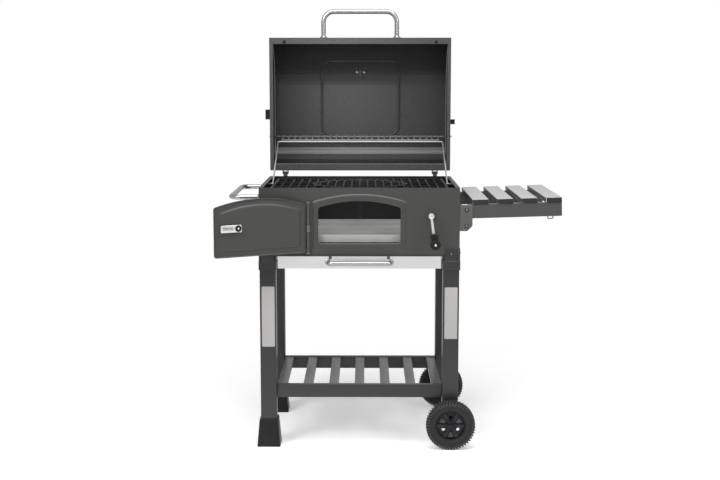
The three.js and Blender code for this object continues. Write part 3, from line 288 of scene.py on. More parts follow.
def finish_mesh(mesh):
    """Merges doubled points, turns every face outwards and smooths the flatter edges."""
    work = bmesh.new()
    work.from_mesh(mesh)
    bmesh.ops.remove_doubles(work, verts=work.verts, dist=0.00001)
    bmesh.ops.dissolve_degenerate(work, edges=work.edges, dist=0.000005)
    bmesh.ops.recalc_face_normals(work, faces=work.faces)
    work.to_mesh(mesh)
    work.free()
    mesh.shade_smooth()
    mesh.set_sharp_from_angle(angle=SHARP_FROM)


def make(name, body, material, surfaces, replaces=()):
    """One piece from surfaces: points and faces go into the mesh as whole arrays."""
    counts = np.cumsum([0] + [len(points) for points, _ in surfaces])
    points = (np.concatenate([points for points, _ in surfaces]) + HOME) * MM
    faces = [f + base for (_, some), base in zip(surfaces, counts) for f in some]
    corners = np.concatenate([f.ravel() for f in faces]).astype(np.int32)
    sizes = np.concatenate([np.full(len(f), f.shape[1]) for f in faces])
    mesh = bpy.data.meshes.new(name)
    mesh.vertices.add(len(points))
    mesh.vertices.foreach_set("co", points.astype(np.float32).ravel())
    mesh.loops.add(len(corners))
    mesh.loops.foreach_set("vertex_index", corners)
    mesh.polygons.add(len(sizes))
    mesh.polygons.foreach_set("loop_start", np.concatenate([[0], np.cumsum(sizes)[:-1]]).astype(np.int32))
    mesh.update(calc_edges=True)
    finish_mesh(mesh)
    piece = bpy.data.objects.new(name, mesh)
    bpy.context.collection.objects.link(piece)
    mesh.materials.append(material)
    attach(piece, body)
    if replaces:
        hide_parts(*replaces)
    return piece


def softened(node, material, width, segments=2):
    """A CAD node's copy with its edges rounded, which stands for it."""
    source = frame["nodes"][node]
    mesh = source.data.copy()
    mesh.materials.clear()
    work = bmesh.new()
    work.from_mesh(mesh)
    bmesh.ops.remove_doubles(work, verts=work.verts, dist=0.00002)
    bmesh.ops.dissolve_limit(work, angle_limit=math.radians(1), verts=work.verts, edges=work.edges)
    work.to_mesh(mesh)
    work.free()
    mesh.shade_smooth()
    piece = bpy.data.objects.new(node + "_formed", mesh)
    bpy.context.collection.objects.link(piece)
    mesh.materials.append(material)
    bevel = piece.modifiers.new("edges", "BEVEL")
    bevel.width = width * MM
    bevel.segments = segments
    bevel.limit_method = "ANGLE"
    bevel.angle_limit = BEVEL_FROM
    bevel.harden_normals = True
    bevel.use_clamp_overlap = True
    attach(piece, BODY_OF[node])
    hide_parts(node)
    return piece


# ------------------------------------------------------------------ materials
def group(name, inputs, outputs, build):
    """A shader node group with named inputs and outputs."""
    tree = bpy.data.node_groups.new(name, "ShaderNodeTree")
    for label, kind, value in inputs:
        socket = tree.interface.new_socket(label, in_out="INPUT", socket_type=kind)
        socket.default_value = value
    for label, kind in outputs:
        tree.interface.new_socket(label, in_out="OUTPUT", socket_type=kind)
    build(tree, tree.nodes.new("NodeGroupInput").outputs, tree.nodes.new("NodeGroupOutput").inputs)
    return tree


def math_node(tree, operation, *values):
    node = tree.nodes.new("ShaderNodeMath")
    node.operation = operation
    for socket, value in zip(node.inputs, values):
        feed(tree, value, socket)
    return node.outputs[0]


def feed(tree, value, socket):
    if isinstance(value, bpy.types.NodeSocket):
        tree.links.new(value, socket)
    else:
        socket.default_value = value


def noise(tree, vector, scale, detail=3.0, roughness=0.5):
    node = tree.nodes.new("ShaderNodeTexNoise")
    feed(tree, vector, node.inputs["Vector"])
    feed(tree, scale, node.inputs["Scale"])
    node.inputs["Detail"].default_value = detail
    node.inputs["Roughness"].default_value = roughness
    return node.outputs["Fac"]


def remap(tree, value, low, high, to_low, to_high):
    node = tree.nodes.new("ShaderNodeMapRange")
    for label, number in (("Value", value), ("From Min", low), ("From Max", high), ("To Min", to_low),
                          ("To Max", to_high)):
        feed(tree, number, node.inputs[label])
    return node.outputs["Result"]


def tinted(tree, colour, factor):
    """A colour with its brightness multiplied by a factor."""
    node = tree.nodes.new("ShaderNodeVectorMath")
    node.operation = "SCALE"
    feed(tree, colour, node.inputs[0])
    feed(tree, factor, node.inputs["Scale"])
    return node.outputs[0]


def vector_node(tree, operation, *values):
    node = tree.nodes.new("ShaderNodeVectorMath")
    node.operation = operation
    for socket, value in zip(node.inputs, values):
        feed(tree, value, socket)
    return node.outputs


def around(tree, pattern, amount, base):
    """A pattern that runs from 0 to 1, centred, scaled and added to a base."""
    return math_node(tree, "MULTIPLY_ADD", math_node(tree, "SUBTRACT", pattern, 0.5), amount, base)


def mixed(tree, factor, first, second):
    """A blend of two colours."""
    mix = tree.nodes.new("ShaderNodeMix")
    mix.data_type = "RGBA"
    feed(tree, factor, mix.inputs["Factor"])
    feed(tree, first, mix.inputs[6])
    feed(tree, second, mix.inputs[7])
    return mix.outputs[2]


def build_coat(tree, given, out):
    """Sprayed coat: fine orange peel for height, slow patches and speckle in the colour."""
    place = tree.nodes.new("ShaderNodeTexCoord").outputs["Object"]
    peel = noise(tree, place, given["Grain"], 2.0)
    patch = noise(tree, place, 5.0, 2.0)
    fleck = noise(tree, place, 2600.0, 1.0)
    shade = around(tree, fleck, given["Fleck"], around(tree, patch, given["Patches"], 1.0))
    feed(tree, tinted(tree, given["Colour"], shade), out["Colour"])
    feed(tree, around(tree, peel, 0.12, given["Roughness"]), out["Roughness"])
    feed(tree, peel, out["Height"])


def build_brushed(tree, given, out):
    """Drawn lines: noise that is stretched along one direction, for colour, roughness and height."""
    place = tree.nodes.new("ShaderNodeTexCoord").outputs["Object"]
    lines = noise(tree, vector_node(tree, "MULTIPLY", place, given["Stretch"])[0], 1.0, 4.0, 0.6)
    cloud = noise(tree, place, 9.0, 3.0)
    shade = around(tree, cloud, 0.12, around(tree, lines, given["Lines"], 1.0))
    feed(tree, tinted(tree, given["Colour"], shade), out["Colour"])
    feed(tree, around(tree, lines, 0.25, given["Roughness"]), out["Roughness"])
    feed(tree, lines, out["Height"])


def build_zone(tree, given, out):
    """Two colours with a border at one height along one direction: the near colour lies before it."""
    place = tree.nodes.new("ShaderNodeTexCoord").outputs["Object"]
    along = vector_node(tree, "DOT_PRODUCT", place, given["Direction"])["Value"]
    past = math_node(tree, "GREATER_THAN", along, given["Border"])
    feed(tree, mixed(tree, past, given["Near"], given["Far"]), out["Colour"])


def build_toplit(tree, given, out):
    """One colour on faces that look up on the piece, and another on its sides, as painted highlight on top and
    painted shade on the sides: the share is the height of the piece's own normal between two limits."""
    split = tree.nodes.new("ShaderNodeSeparateXYZ")
    feed(tree, tree.nodes.new("ShaderNodeTexCoord").outputs["Normal"], split.inputs[0])
    share = remap(tree, split.outputs["Z"], 0.45, 0.9, 0.0, 1.0)
    feed(tree, mixed(tree, share, given["Side"], given["Top"]), out["Colour"])


COLOUR, FLOAT, VECTOR = "NodeSocketColor", "NodeSocketFloat", "NodeSocketVector"
BLACK, WHITE = (0, 0, 0, 1), (1, 1, 1, 1)
FINISH_OUT = [("Colour", COLOUR), ("Roughness", FLOAT), ("Height", FLOAT)]
COAT = group("sprayed coat",
             [("Colour", COLOUR, BLACK), ("Roughness", FLOAT, 0.4), ("Grain", FLOAT, 900.0),
              ("Patches", FLOAT, 0.15), ("Fleck", FLOAT, 0.25)], FINISH_OUT, build_coat)
BRUSHED = group("brushed lines",
                [("Colour", COLOUR, WHITE), ("Roughness", FLOAT, 0.3), ("Stretch", VECTOR, (8, 8, 900)),
                 ("Lines", FLOAT, 0.2)], FINISH_OUT, build_brushed)
ZONE = group("two-sided coat",
             [("Near", COLOUR, BLACK), ("Far", COLOUR, WHITE), ("Direction", VECTOR, (0, 1, 0)),
              ("Border", FLOAT, 0.0)], [("Colour", COLOUR)], build_zone)
TOPLIT = group("painted top light", [("Side", COLOUR, BLACK), ("Top", COLOUR, WHITE)], [("Colour", COLOUR)],
               build_toplit)


def effect_node(tree, effect, values):
    """A node that runs an effect group; a colour is given as red, green and blue."""
    node = tree.nodes.new("ShaderNodeGroup")
    node.node_tree = effect
    for label, value in values.items():
        is_colour = node.inputs[label].type == "RGBA"
        node.inputs[label].default_value = (*value, 1) if is_colour else value
    return node


def surface(name, effect, values, metallic=0.0, bump=0.1, reach=0.1, ior=1.5):
    """A material: an effect group feeds a Principled shader's colour, roughness and bump."""
    material = bpy.data.materials.new(name)
    material.use_nodes = True
    tree = material.node_tree
    tree.nodes.clear()
    shader = tree.nodes.new("ShaderNodeBsdfPrincipled")
    end = tree.nodes.new("ShaderNodeOutputMaterial")
    tree.links.new(shader.outputs[0], end.inputs["Surface"])
    made = effect_node(tree, effect, values)
    relief = tree.nodes.new("ShaderNodeBump")
    relief.inputs["Strength"].default_value = bump
    relief.inputs["Distance"].default_value = reach * MM
    tree.links.new(made.outputs["Height"], relief.inputs["Height"])
    tree.links.new(relief.outputs[0], shader.inputs["Normal"])
    tree.links.new(made.outputs["Colour"], shader.inputs["Base Color"])
    tree.links.new(made.outputs["Roughness"], shader.inputs["Roughness"])
    shader.inputs["Metallic"].default_value = metallic
    shader.inputs["IOR"].default_value = ior
    return material


def coat(name, colour, roughness, grain=900.0, patches=0.15, fleck=0.25, **more):
    """A sprayed or moulded surface."""
    values = {"Colour": colour, "Roughness": roughness, "Grain": grain, "Patches": patches, "Fleck": fleck}
    return surface(name, COAT, values, **more)


def drawn(name, colour, roughness, stretch, lines, **more):
    """A metal or a metallic paint, with lines drawn in it."""
    values = {"Colour": colour, "Roughness": roughness, "Stretch": stretch, "Lines": lines}
    return surface(name, BRUSHED, values, **more)


def grey(value):
    return (value, value, value)


def group_node(material, effect=None):
    """A material's effect node: the one that runs this group, or the one it was made with."""
    groups = [node for node in material.node_tree.nodes if node.type == "GROUP"]
    return [node for node in groups if effect in (None, node.node_tree)][0]


def two_sided(base, name, near, far, direction, border):
    """A copy of a material whose colour differs on the two sides of a border, in millimetres from home."""
    material = base.copy()
    material.name = name
    made = group_node(material)
    values = {"Near": near, "Far": far, "Direction": direction, "Border": (border + HOME @ direction) * MM}
    split = effect_node(material.node_tree, ZONE, values)
    material.node_tree.links.new(split.outputs["Colour"], made.inputs["Colour"])
    return material


def shade_below(material, low, high, border):
    """A second border, in height, on the far side of a two-sided coat."""
    first = group_node(material, ZONE)
    values = {"Near": low, "Far": high, "Direction": UP, "Border": border * MM}
    second = effect_node(material.node_tree, ZONE, values)
    material.node_tree.links.new(second.outputs["Colour"], first.inputs["Far"])


def paint_top_light(material, side, top):
    """Paints light by facing: a paler colour on the upward faces of a material and a darker one on its sides,
    as painted highlight and painted shade.
    """
    made = group_node(material)
    split = effect_node(material.node_tree, TOPLIT, {"Side": side, "Top": top})
    material.node_tree.links.new(split.outputs["Colour"], made.inputs["Colour"])


COAT_COLOUR = (0.043, 0.0443, 0.0405)
ENAMEL = grey(0.042)
# painted shade: near-black on the fire box sheets' inner faces, where shade falls inside the box
INSIDE_SHADE = grey(0.004)
FLANGE = (0.052, 0.052, 0.050)
# painted shade on the lid's low inner wall, below its bend
LOWER_WALL_SHADE = grey(0.010)

# sprayed steel
PAINT = coat("powder coat", COAT_COLOUR, 0.36, 700.0, 0.12, 0.5, bump=0.25, reach=0.15)
INNER = coat("lid enamel", ENAMEL, 0.28, 500.0, 0.2, 0.2, bump=0.15, reach=0.15)
LEG = coat("leg coat", (0.0240, 0.0238, 0.0240), 0.38, 800.0, 0.1, 0.5, bump=0.25, reach=0.15)
BEAM = coat("shelf beam coat", (0.057, 0.0585, 0.054), 0.36, 700.0, 0.12, 0.5, bump=0.25, reach=0.15)
DARK_COAT = coat("black bracket coat", grey(0.012), 0.4, bump=0.2)
BRACKET_COAT = coat("bracket coat", (0.082, 0.082, 0.08), 0.4, 500.0, 0.3, 1.1, bump=0.4, reach=0.2)
# painted highlight: a pale coat on the lid's bends and beads for the light their curves catch
BEND_HIGHLIGHT = coat("painted highlight on bends", (0.22, 0.22, 0.215), 0.32, 700.0, 0.15, 0.3, bump=0.15)
# painted highlight on the side sheets' top edges
RIM_HIGHLIGHT_COAT = coat("painted rim highlight", (0.42, 0.42, 0.41), 0.35, 900.0, 0.4, 0.3, bump=0.15)
BARREL_STEEL = coat("worn hinge barrel", (0.10, 0.10, 0.098), 0.26, metallic=0.6, bump=0.05)
IRON = coat("cast enamel", grey(0.006), 0.36, 330.0, 0.5, 0.6, bump=0.6, reach=0.5)

# sheets with the coat outside and painted shade on their inner faces, and a lid whose low inner wall is darker
# with painted shade
BACK_COAT = two_sided(PAINT, "back sheet coat", INSIDE_SHADE, COAT_COLOUR, DEPTH, BACK - SHEET / 2 + 0.05)
LEFT_COAT = two_sided(PAINT, "left sheet coat", COAT_COLOUR, INSIDE_SHADE, ACROSS, SHEET / 2 - 0.05 - HALF)
RIGHT_COAT = two_sided(PAINT, "right sheet coat", INSIDE_SHADE, COAT_COLOUR, ACROSS, HALF - SHEET / 2 + 0.05)
LID_COAT = two_sided(INNER, "lid coat", FLANGE, ENAMEL, DEPTH, 463.5)
# painted shade: the lid's inner wall below 866 mm is darker
shade_below(LID_COAT, LOWER_WALL_SHADE, ENAMEL, 866)

# plastic, rubber and paper
PLASTIC = coat("moulded plastic", (0.0075, 0.0075, 0.0085), 0.45, 1500.0, 0.2, 0.3,
               bump=0.35, reach=0.12, ior=1.35)
# painted light on the rims: web, ring and hub in a darker plastic as painted shade
RIM_PLASTIC = coat("rim plastic", (0.006, 0.007, 0.009), 0.30, 1300.0, 0.2, 0.2, bump=0.2, ior=1.33)
# painted highlight: the rim's ribs and wedges paler than the web between them
RIB_HIGHLIGHT_PLASTIC = coat("rim plastic with painted highlight", (0.034, 0.034, 0.038), 0.34, 1300.0, 0.3, 0.3, bump=0.2)
RUBBER = coat("tyre rubber", (0.010, 0.010, 0.011), 0.55, 1200.0, 0.6, 0.5, bump=0.4, reach=0.2, ior=1.4)
# painted highlight: the tread lugs paler than the tyre's body, for the glints on their tops
TREAD_HIGHLIGHT_RUBBER = coat("tread rubber with painted highlight", (0.030, 0.030, 0.031), 0.5, 1200.0, 0.6, 0.5, bump=0.4, reach=0.2)
STICKER = coat("blank sticker", (0.40, 0.39, 0.385), 0.4, 1200.0, 0.08, 0.1, bump=0.05)
DIAL = coat("dial face", (0.78, 0.78, 0.76), 0.45, 1500.0, 0.05, 0.05, bump=0.02)

# bright metal and metallic paint
CHROME = drawn("chromed tube", grey(0.40), 0.24, (2500, 2500, 2500), 0.04, metallic=1.0, bump=0.0)
WIRE = drawn("plated wire", (0.46, 0.46, 0.45), 0.33, (500, 500, 500), 0.15, metallic=0.5)
ZINC = drawn("galvanised sheet", (0.84, 0.845, 0.84), 0.34, (6, 900, 900), 0.16, metallic=1.0, bump=0.08)
LATCH_ZINC = drawn("bright zinc", (0.80, 0.80, 0.78), 0.25, (2500, 2500, 2500), 0.08, metallic=0.8, bump=0.03)
TRAY = drawn("tray sheet", (0.42, 0.42, 0.41), 0.55, (6, 700, 700), 0.12, metallic=0.25, bump=0.06)
BOLT = drawn("plated fastener", grey(0.17), 0.3, (700, 700, 700), 0.2, metallic=0.6)
SCREW = drawn("bright screw", (0.78, 0.78, 0.76), 0.3, (600, 600, 600), 0.2, metallic=0.3)
SILVER = drawn("side shelf coat", (0.44, 0.445, 0.44), 0.46, (1100, 30, 1100), 0.3, metallic=0.25)
LEG_TOP = drawn("shelf slat coat", (0.115, 0.115, 0.114), 0.34, (1100, 30, 1100), 0.35, metallic=0.2)
# painted highlight on the slats' tops and painted shade on their sides
paint_top_light(SILVER, grey(0.10), (0.42, 0.424, 0.42))
paint_top_light(LEG_TOP, grey(0.04), (0.125, 0.125, 0.124))


# ------------------------------------------------------------------ fasteners
def fastener_set(name, body, places):
    """Bright heads on washers in a dark coat, which is painted shade round each head, for one body: each place
    is (centre, axis, radius, height).
    """
    heads, washers = [], []
    for centre, axis, radius, high in places:
        head, washer = bolt(centre, axis, radius * 0.72, high, radius)
        heads.append(head)
        washers.append(washer)
    # the dark washers stand for the shade round each head: painted shade
    make(name + "_washers", body, DARK_COAT, washers)
    make(name, body, BOLT, heads)


# ------------------------------------------------------------------ fire box
SURROUND = (-144, 144, 620, 776, 799)  # left, right, bottom, shoulder and crown of the frame round the mouth
OPENING = (-127, 127, 646, 756, 777)  # and of the mouth itself
MOUTH_MIDDLE = np.array([0, 700.0])


def ring_between(outer, inner, levels, place):
    """A flat frame between two outlines with the same number of points, closed all round: the outline walks
    from the outer edge over the face to the inner edge and back, following (share, height) levels."""
    rows = []
    for share, height in levels:
        points = outer + (inner - outer) * share
        rows.append(np.stack(place(*points.T, np.full(len(points), height)), -1))
    return skin(np.stack(rows), closed=True)


def resampled(shape, count):
    """A closed outline as equally spaced points, from its first point on."""
    closed = np.concatenate([shape, shape[:1]])
    walk = np.concatenate([[0], np.cumsum(np.linalg.norm(np.diff(closed, axis=0), axis=1))])
    t = np.linspace(0, walk[-1], count, endpoint=False)
    return np.stack([np.interp(t, walk, closed[:, 0]), np.interp(t, walk, closed[:, 1])], -1)


def by_angle(shape, centre, count):
    """A closed outline as points at equal angles about a centre, so that two outlines can be matched."""
    closed = np.concatenate([shape, shape[:1]]) - centre
    fine = np.linspace(0, 1, 40)[:, None, None]
    dense = (closed[:-1] * (1 - fine) + closed[1:] * fine).transpose(1, 0, 2).reshape(-1, 2)
    angle = np.arctan2(dense[:, 1], dense[:, 0])
    order = np.argsort(angle)
    t = np.linspace(-math.pi, math.pi, count, endpoint=False)
    reach = np.interp(t, angle[order], np.linalg.norm(dense, axis=1)[order], period=TAU)
    return centre + reach[:, None] * np.stack([np.cos(t), np.sin(t)], -1)


def front_panel():
    """The front sheet with its rolled hem, and round the mouth a pressed frame whose outer edge is bevelled
    and whose inner edge rolls in."""
    count = 360
    edge = by_angle(rounded(-HALF, HALF, BASE + 3, RIM, 1.5), MOUTH_MIDDLE, count)
    raised = by_angle(arch(*SURROUND, 5, 8), MOUTH_MIDDLE, count)
    hole = by_angle(arch(*OPENING, 12, 9), MOUTH_MIDDLE, count)
    sheet = ring_between(edge, hole, [(0, 0), (1, 0), (1, SHEET), (0, SHEET)], flat_xz)
    levels = [(0, 0), (0.05, -0.7), (0.15, 0.5 - PROUD), (0.24, -PROUD), (0.78, -PROUD), (0.92, 0.7 - PROUD),
              (1, 2.4 - PROUD), (1, SHEET), (0.9, SHEET), (0.9, 0.2), (0.1, 0.2)]
    surround = ring_between(raised, hole, levels, flat_xz)
    radius, deep = 2.2, SHEET + 6
    t = np.linspace(-math.pi / 2, math.pi / 2, 7)
    roll = np.stack([np.maximum(0.6 - radius * np.cos(t), 0), BASE + radius + radius * np.sin(t)], -1)
    section = np.concatenate([roll, [(deep, BASE + 2 * radius), (deep, BASE)]])
    hem = skin(np.stack([np.insert(section, 0, x, axis=1) for x in (-HALF, HALF)]))
    make("fire_box_front_sheet", "cart", PAINT, [sheet, surround, hem], ["firebox_front_panel"])


def side_rims():
    """Thin pale strips along the side sheets' top edges: a painted highlight where their rounded edges catch
    the light.
    """
    bars = []
    for side in (-1, 1):
        x = sorted((side * (HALF - 0.2), side * (HALF - 11)))
        bars.append(block(x, (14, BACK - 14), (RIM - 1.2, RIM - 0.05), 1.0, 0.4))
    make("side_rim_painted_highlights", "cart", RIM_HIGHLIGHT_COAT, bars)


front_panel()
side_rims()


# ------------------------------------------------------------------ legs, feet, shelf
TUBE_TOP = BASE - 0.5
COLLAR = (562, 590)  # heights of the stepped collar on each leg
TAB = 2  # thickness of the bolted tabs above it
LEG_X = {"left": (-310, -260), "right": (260, 310)}
LEG_Y = {"front": (0, 50), "rear": (410, 460)}


def leg(node, x, y):
    """A square tube with round corners, a stepped collar under the fire box, and two tabs at its corner."""
    foot = home(node)[0][2]
    low, high = COLLAR
    steps = [(3.2, low), (0.55, low), (0.05, low + 0.6), (0.05, high - 0.6), (0.55, high), (3.2, high)]
    parts = [slab(rounded(*x, *y, 3.2, 5), foot, TUBE_TOP, flat_xy, 0.4),
             stacked(rounded(x[0] - 3, x[1] + 3, y[0] - 3, y[1] + 3, 5.2, 5), steps, flat_xy)]
    for wide, deep, place in ((x, y, flat_xz), (y, x, flat_yz)):
        start = deep[1] + GAP if deep[0] > 0 else deep[0] - GAP - TAB
        parts.append(slab(rounded(wide[0] + 6, wide[1] - 6, 588, 630, 3, 4), start, start + TAB, place, 0.5))
    make(node.replace("_leg", "_tube_leg"), "cart", LEG, parts, [node])


for side_name, side_x in LEG_X.items():
    for end_name, end_y in LEG_Y.items():
        leg(f"{end_name}_{side_name}_leg", side_x, end_y)


def slats():
    """Shelf slats: each node's box as a round-edged tube; the side shelf's have a dark plug in either end."""
    thick = 1.2
    for node in sorted(frame["nodes"]):
        if node.startswith("lower_shelf_slat"):
            softened(node, LEG_TOP, 2.2, 3)
        if node.startswith("side_shelf_slat"):
            softened(node, SILVER, 2.4, 3)
            low, high = home(node)
            inner = rounded(low[0] + 2.6, high[0] - 2.6, low[2] + 2.2, high[2] - 2.2, 1.2, 4)
            plugs = [slab(inner, y, y + thick, flat_xz, 0.2) for y in (low[1], high[1] - thick)]
            make(node + "_end_plugs", "side_shelf", DARK_COAT, plugs)
    for node in ("lower_shelf_front_rail", "lower_shelf_rear_rail"):
        softened(node, LEG, 2.4, 3)


def sticker(name, x, z):
    """A blank paper sticker on the front of a leg."""
    make(name, "cart", STICKER, [slab(rounded(*x, *z, 3, 4), -0.12, 0.05, flat_xz, 0.02)])


def leg_bolts():
    """Places of the bolts in the front legs' tabs: one in front and two at the side of each."""
    front = [((side * 285, -2.2, 612), (0, -1, 0), 4.4, 2.4) for side in (1, -1)]
    return front + [((side * x, y, z), (side, 0, 0), 4.2, 2.2)
                    for side in (1, -1) for x, y, z in ((312.2, 16, 615), (310.1, 34, 640))]


slats()
sticker("left_leg_sticker", (-304, -264), (320, 510))
sticker("right_leg_sticker", (265, 305), (345, 508))
fastener_set("leg_bolts", "cart", leg_bolts())


# ------------------------------------------------------------------ handles and wire
def loop_handle(node, body, feet, reach, radius, bend, side, washer):
    """A bent round bar that reaches out from two feet, with a flared washer at each."""
    first, last = np.array(feet, float)
    corners = [first, first + reach, last + reach, last]
    flare = [(0, 0), (washer, 0), (washer, 1.2), (radius + 2.5, 3.2), (radius + 0.8, 6), (0, 6)]
    parts = [tube(bent(corners, bend, 11), radius, side, 24)]
    parts += [turned(flare, foot, reach, 32) for foot in (first, last)]
    make("bent_" + node, body, CHROME, parts, [node])


loop_handle("lid_handle", "lid", [(-125, 491, 1288.4), (125, 491, 1288.4)], (0, 0, 88.2),
            7.98, 36, DEPTH, 13.8)
loop_handle("push_handle", "cart", [(-310.6, 40, 785), (-310.6, 420, 785)], (-90.4, 0, 0), 8, 32, UP, 14.8)
loop_handle("drawer_handle", "ash_drawer", [(-97, -0.3, 587), (97, -0.3, 587)], (0, -33.7, 0),
            6.5, 14, UP, 9.5)
fastener_set("drawer_bolts", "ash_drawer", [((x, -0.1, 601), (0, -1, 0), 3.4, 2) for x in (-90, 90)])


# ------------------------------------------------------------------ lid
def lid_bumpers():
    """Two small rubber bumpers on the lid's front flange."""
    parts = [turned([(0, 0), (6, 0), (5.6, 2.5), (3.5, 3.6), (0, 3.8)], (x, 460.9, 1275), (0, -1, 0), 24)
             for x in (-258, 258)]
    make("lid_bumpers", "lid", PLASTIC, parts)


WALL_FOOT, WALL_TOP = (696.0, 880.0), (689.3, 1173.0)  # depth and height at the leaning wall's two ends
ROLL_MIDDLE, ROLL_RADIUS = (535.0, 1127.0), 161.0


def back_wall(z):
    """Depth of the lid's inner back wall at a height: a straight lean, then the roll's circle."""
    z = np.asarray(z, float)
    lean = WALL_FOOT[0] + (z - WALL_FOOT[1]) * (WALL_TOP[0] - WALL_FOOT[0]) / (WALL_TOP[1] - WALL_FOOT[1])
    above = np.maximum(z - ROLL_MIDDLE[1], 0)
    roll = ROLL_MIDDLE[0] + np.sqrt(np.maximum(ROLL_RADIUS ** 2 - above ** 2, 0))
    return np.where(z < WALL_TOP[1], lean, roll) - SHEET - 0.2


def embossed_ridge():
    """A pressed ridge on the lid's inner back wall: half-round in section, along a rounded rectangle, on the
    plane that leans with the wall between its foot and the start of the roll."""
    wide, tall, sunk = 4.2, 2.4, 0.4
    shape = resampled(rounded(-138, 138, 949, 1212, 32, 10), 220)
    along = unit(np.roll(shape, -1, 0) - np.roll(shape, 1, 0))
    outwards = np.stack([along[:, 1], -along[:, 0]], -1)
    a = np.linspace(0, math.pi, 7)
    x, z = (shape.T[:, :, None] + outwards.T[:, :, None] * wide * np.cos(a))
    y = back_wall(shape[:, 1])[:, None] - tall * np.sin(a) + sunk
    ridge = skin(np.stack([x, y, z], -1), closed=True)
    make("lid_pressed_ridge", "lid", INNER, [ridge])


lid_bumpers()
embossed_ridge()


# ------------------------------------------------------------------ wheels
SPOKES, SPOKE_RIBS = 6, (-2.6, 2.6)
HOLES, HOLE_CIRCLE, HOLE = (90, 210, 330), 26, 5.0  # angles, reach and radius of the holes round the hub
WEDGES = (30, 150, 270)
LUGS = 50
AXLE_BORE = 5.15


def tyre(end):
    """A moulded tyre: a lathed body with stepped side walls, and chevron lugs round its tread."""
    low, high = home(end + "_tyre")
    centre = (low + high) / 2
    half, outer = (high[1] - low[1]) / 2, (high[2] - low[2]) / 2
    inner = home(end + "_rim")
    seat = (inner[1][2] - inner[0][2]) / 2 + 0.15
    side = [(seat, half - 4), (seat + 3, half - 1.2), (seat + 9, half), (outer - 15, half),
            (outer - 14, half - 0.9), (outer - 13, half - 0.9), (outer - 12, half - 0.2),
            (outer - 9.5, half - 2.2), (outer - 6.6, half - 4.5), (outer - 5.6, half - 7)]
    section = side + [(r, -h) for r, h in side[::-1]]
    pitch = TAU / LUGS
    tread = [lug(centre, outer, half, start + lead, pitch, way)
             for way, lead in ((1, 0), (-1, pitch / 2)) for start in np.arange(LUGS) * pitch]
    name = end + "_moulded_tyre"
    make(name, end + "_wheel", RUBBER, [wheel_hoop(section, centre)], [end + "_tyre"])
    # the lugs are paler than the tyre's body: painted highlight on their tops
    make(name + "_tread", end + "_wheel", TREAD_HIGHLIGHT_RUBBER, tread)


def lug(centre, outer, half, angle, pitch, way):
    """One tread block: a slanted prism between two radii, narrower at its top."""
    near, far, lean = 0.12, 0.93, 0.35
    rows = []
    for depth, share, short in ((11.5, 0.56, 0.1), (1.4, 0.5, 0.9), (0.05, 0.40, 0.9)):
        radius, wide = outer - depth, share / 2
        corner = np.array([(-wide, near), (wide, near), (lean + wide, far), (lean - wide, far)])
        a = angle + corner[:, 0] * pitch
        y = way * corner[:, 1] * (half - short) / far
        rows.append(centre + np.stack([radius * np.cos(a), y, radius * np.sin(a)], -1))
    return skin(np.stack(rows))


def rim(end, way):
    """A moulded rim: a deep outer ring, six spokes of two ribs each over a thin web, three raised wedges, and
    a hub with three holes round it."""
    low, high = home(end + "_rim")
    centre = (low + high) / 2
    radius, hub_half = (high[2] - low[2]) / 2, (high[1] - low[1]) / 2
    name, body = end + "_spoked_rim", end + "_wheel"
    ring_side = [(radius, 11), (radius - 1, 12.5), (radius - 3.4, 12.5), (radius - 4.6, 11), (radius - 5, 3.5)]
    ring = ring_side + [(r, -h) for r, h in ring_side[::-1]]
    hub_side = [(14, 11.5), (12.4, 12), (12.4, hub_half - 0.8), (11.5, hub_half), (AXLE_BORE, hub_half)]
    hub = [(r, -h) for r, h in hub_side[::-1]] + hub_side
    ribs = [rib(centre, TAU * k / SPOKES, offset, 13.5, radius - 4.7, 11.4)
            for k in range(SPOKES) for offset in SPOKE_RIBS]
    ribs += [wedge(centre, math.radians(k), radius) for k in WEDGES]
    # the ribs and wedges are paler than the rest of the rim: painted highlight
    make(name + "_ribs", body, RIB_HIGHLIGHT_PLASTIC, ribs)
    cap = [(0, 0), (9.6, 0), (9.8, 3.6), (8.6, 6), (5.2, 6.6), (4.8, 6), (0, 6)]
    face, proud = way * 10.5, way * 1.4
    raised = [(16.5, face), (16.8, face + proud), (18.0, face + proud), (18.3, face)]
    parts = [wheel_hoop(ring, centre), wheel_hoop(hub, centre), web(centre, radius - 4.8, 13.8, 3.0),
             turned(cap, centre + [0, way * (hub_half - 0.3), 0], (0, way, 0), 32),
             wheel_hoop(raised, centre, 72)]
    # ring, hub and web in the darker rim plastic: painted shade
    make(name, body, RIM_PLASTIC, parts, [end + "_rim"])


def web(centre, outer, inner, half):
    """The disc between hub and ring: a polar grid, without the cells inside three round holes."""
    r, a = np.meshgrid(np.linspace(inner, outer, 25), np.arange(240) * TAU / 240, indexing="ij")
    x, z = r * np.cos(a), r * np.sin(a)
    keep = np.ones(r.shape, bool)
    for angle in np.radians(HOLES):
        keep &= np.hypot(x - HOLE_CIRCLE * math.cos(angle), z - HOLE_CIRCLE * math.sin(angle)) >= HOLE - 0.01
    points = [(centre + np.stack([x, np.full(r.shape, y), z], -1)).reshape(-1, 3) for y in (-half, half)]
    cells = quads(*r.shape)
    front = cells[keep.ravel()[cells].all(1)]
    back = front[:, ::-1] + r.size
    edges = np.concatenate([np.stack([front[:, i], front[:, (i + 1) % 4]], -1) for i in range(4)])
    key = edges.min(1) * r.size + edges.max(1)
    _, first, count = np.unique(key, return_index=True, return_counts=True)
    border = edges[first[count == 1]]
    walls = np.concatenate([border, border[:, ::-1] + r.size], -1)
    return np.concatenate(points), [front, back, walls]


def about(centre):
    """Places an outline across an axle and heights along it."""
    def place(x, z, h):
        return centre[0] + x, centre[1] + h, centre[2] + z

    return place


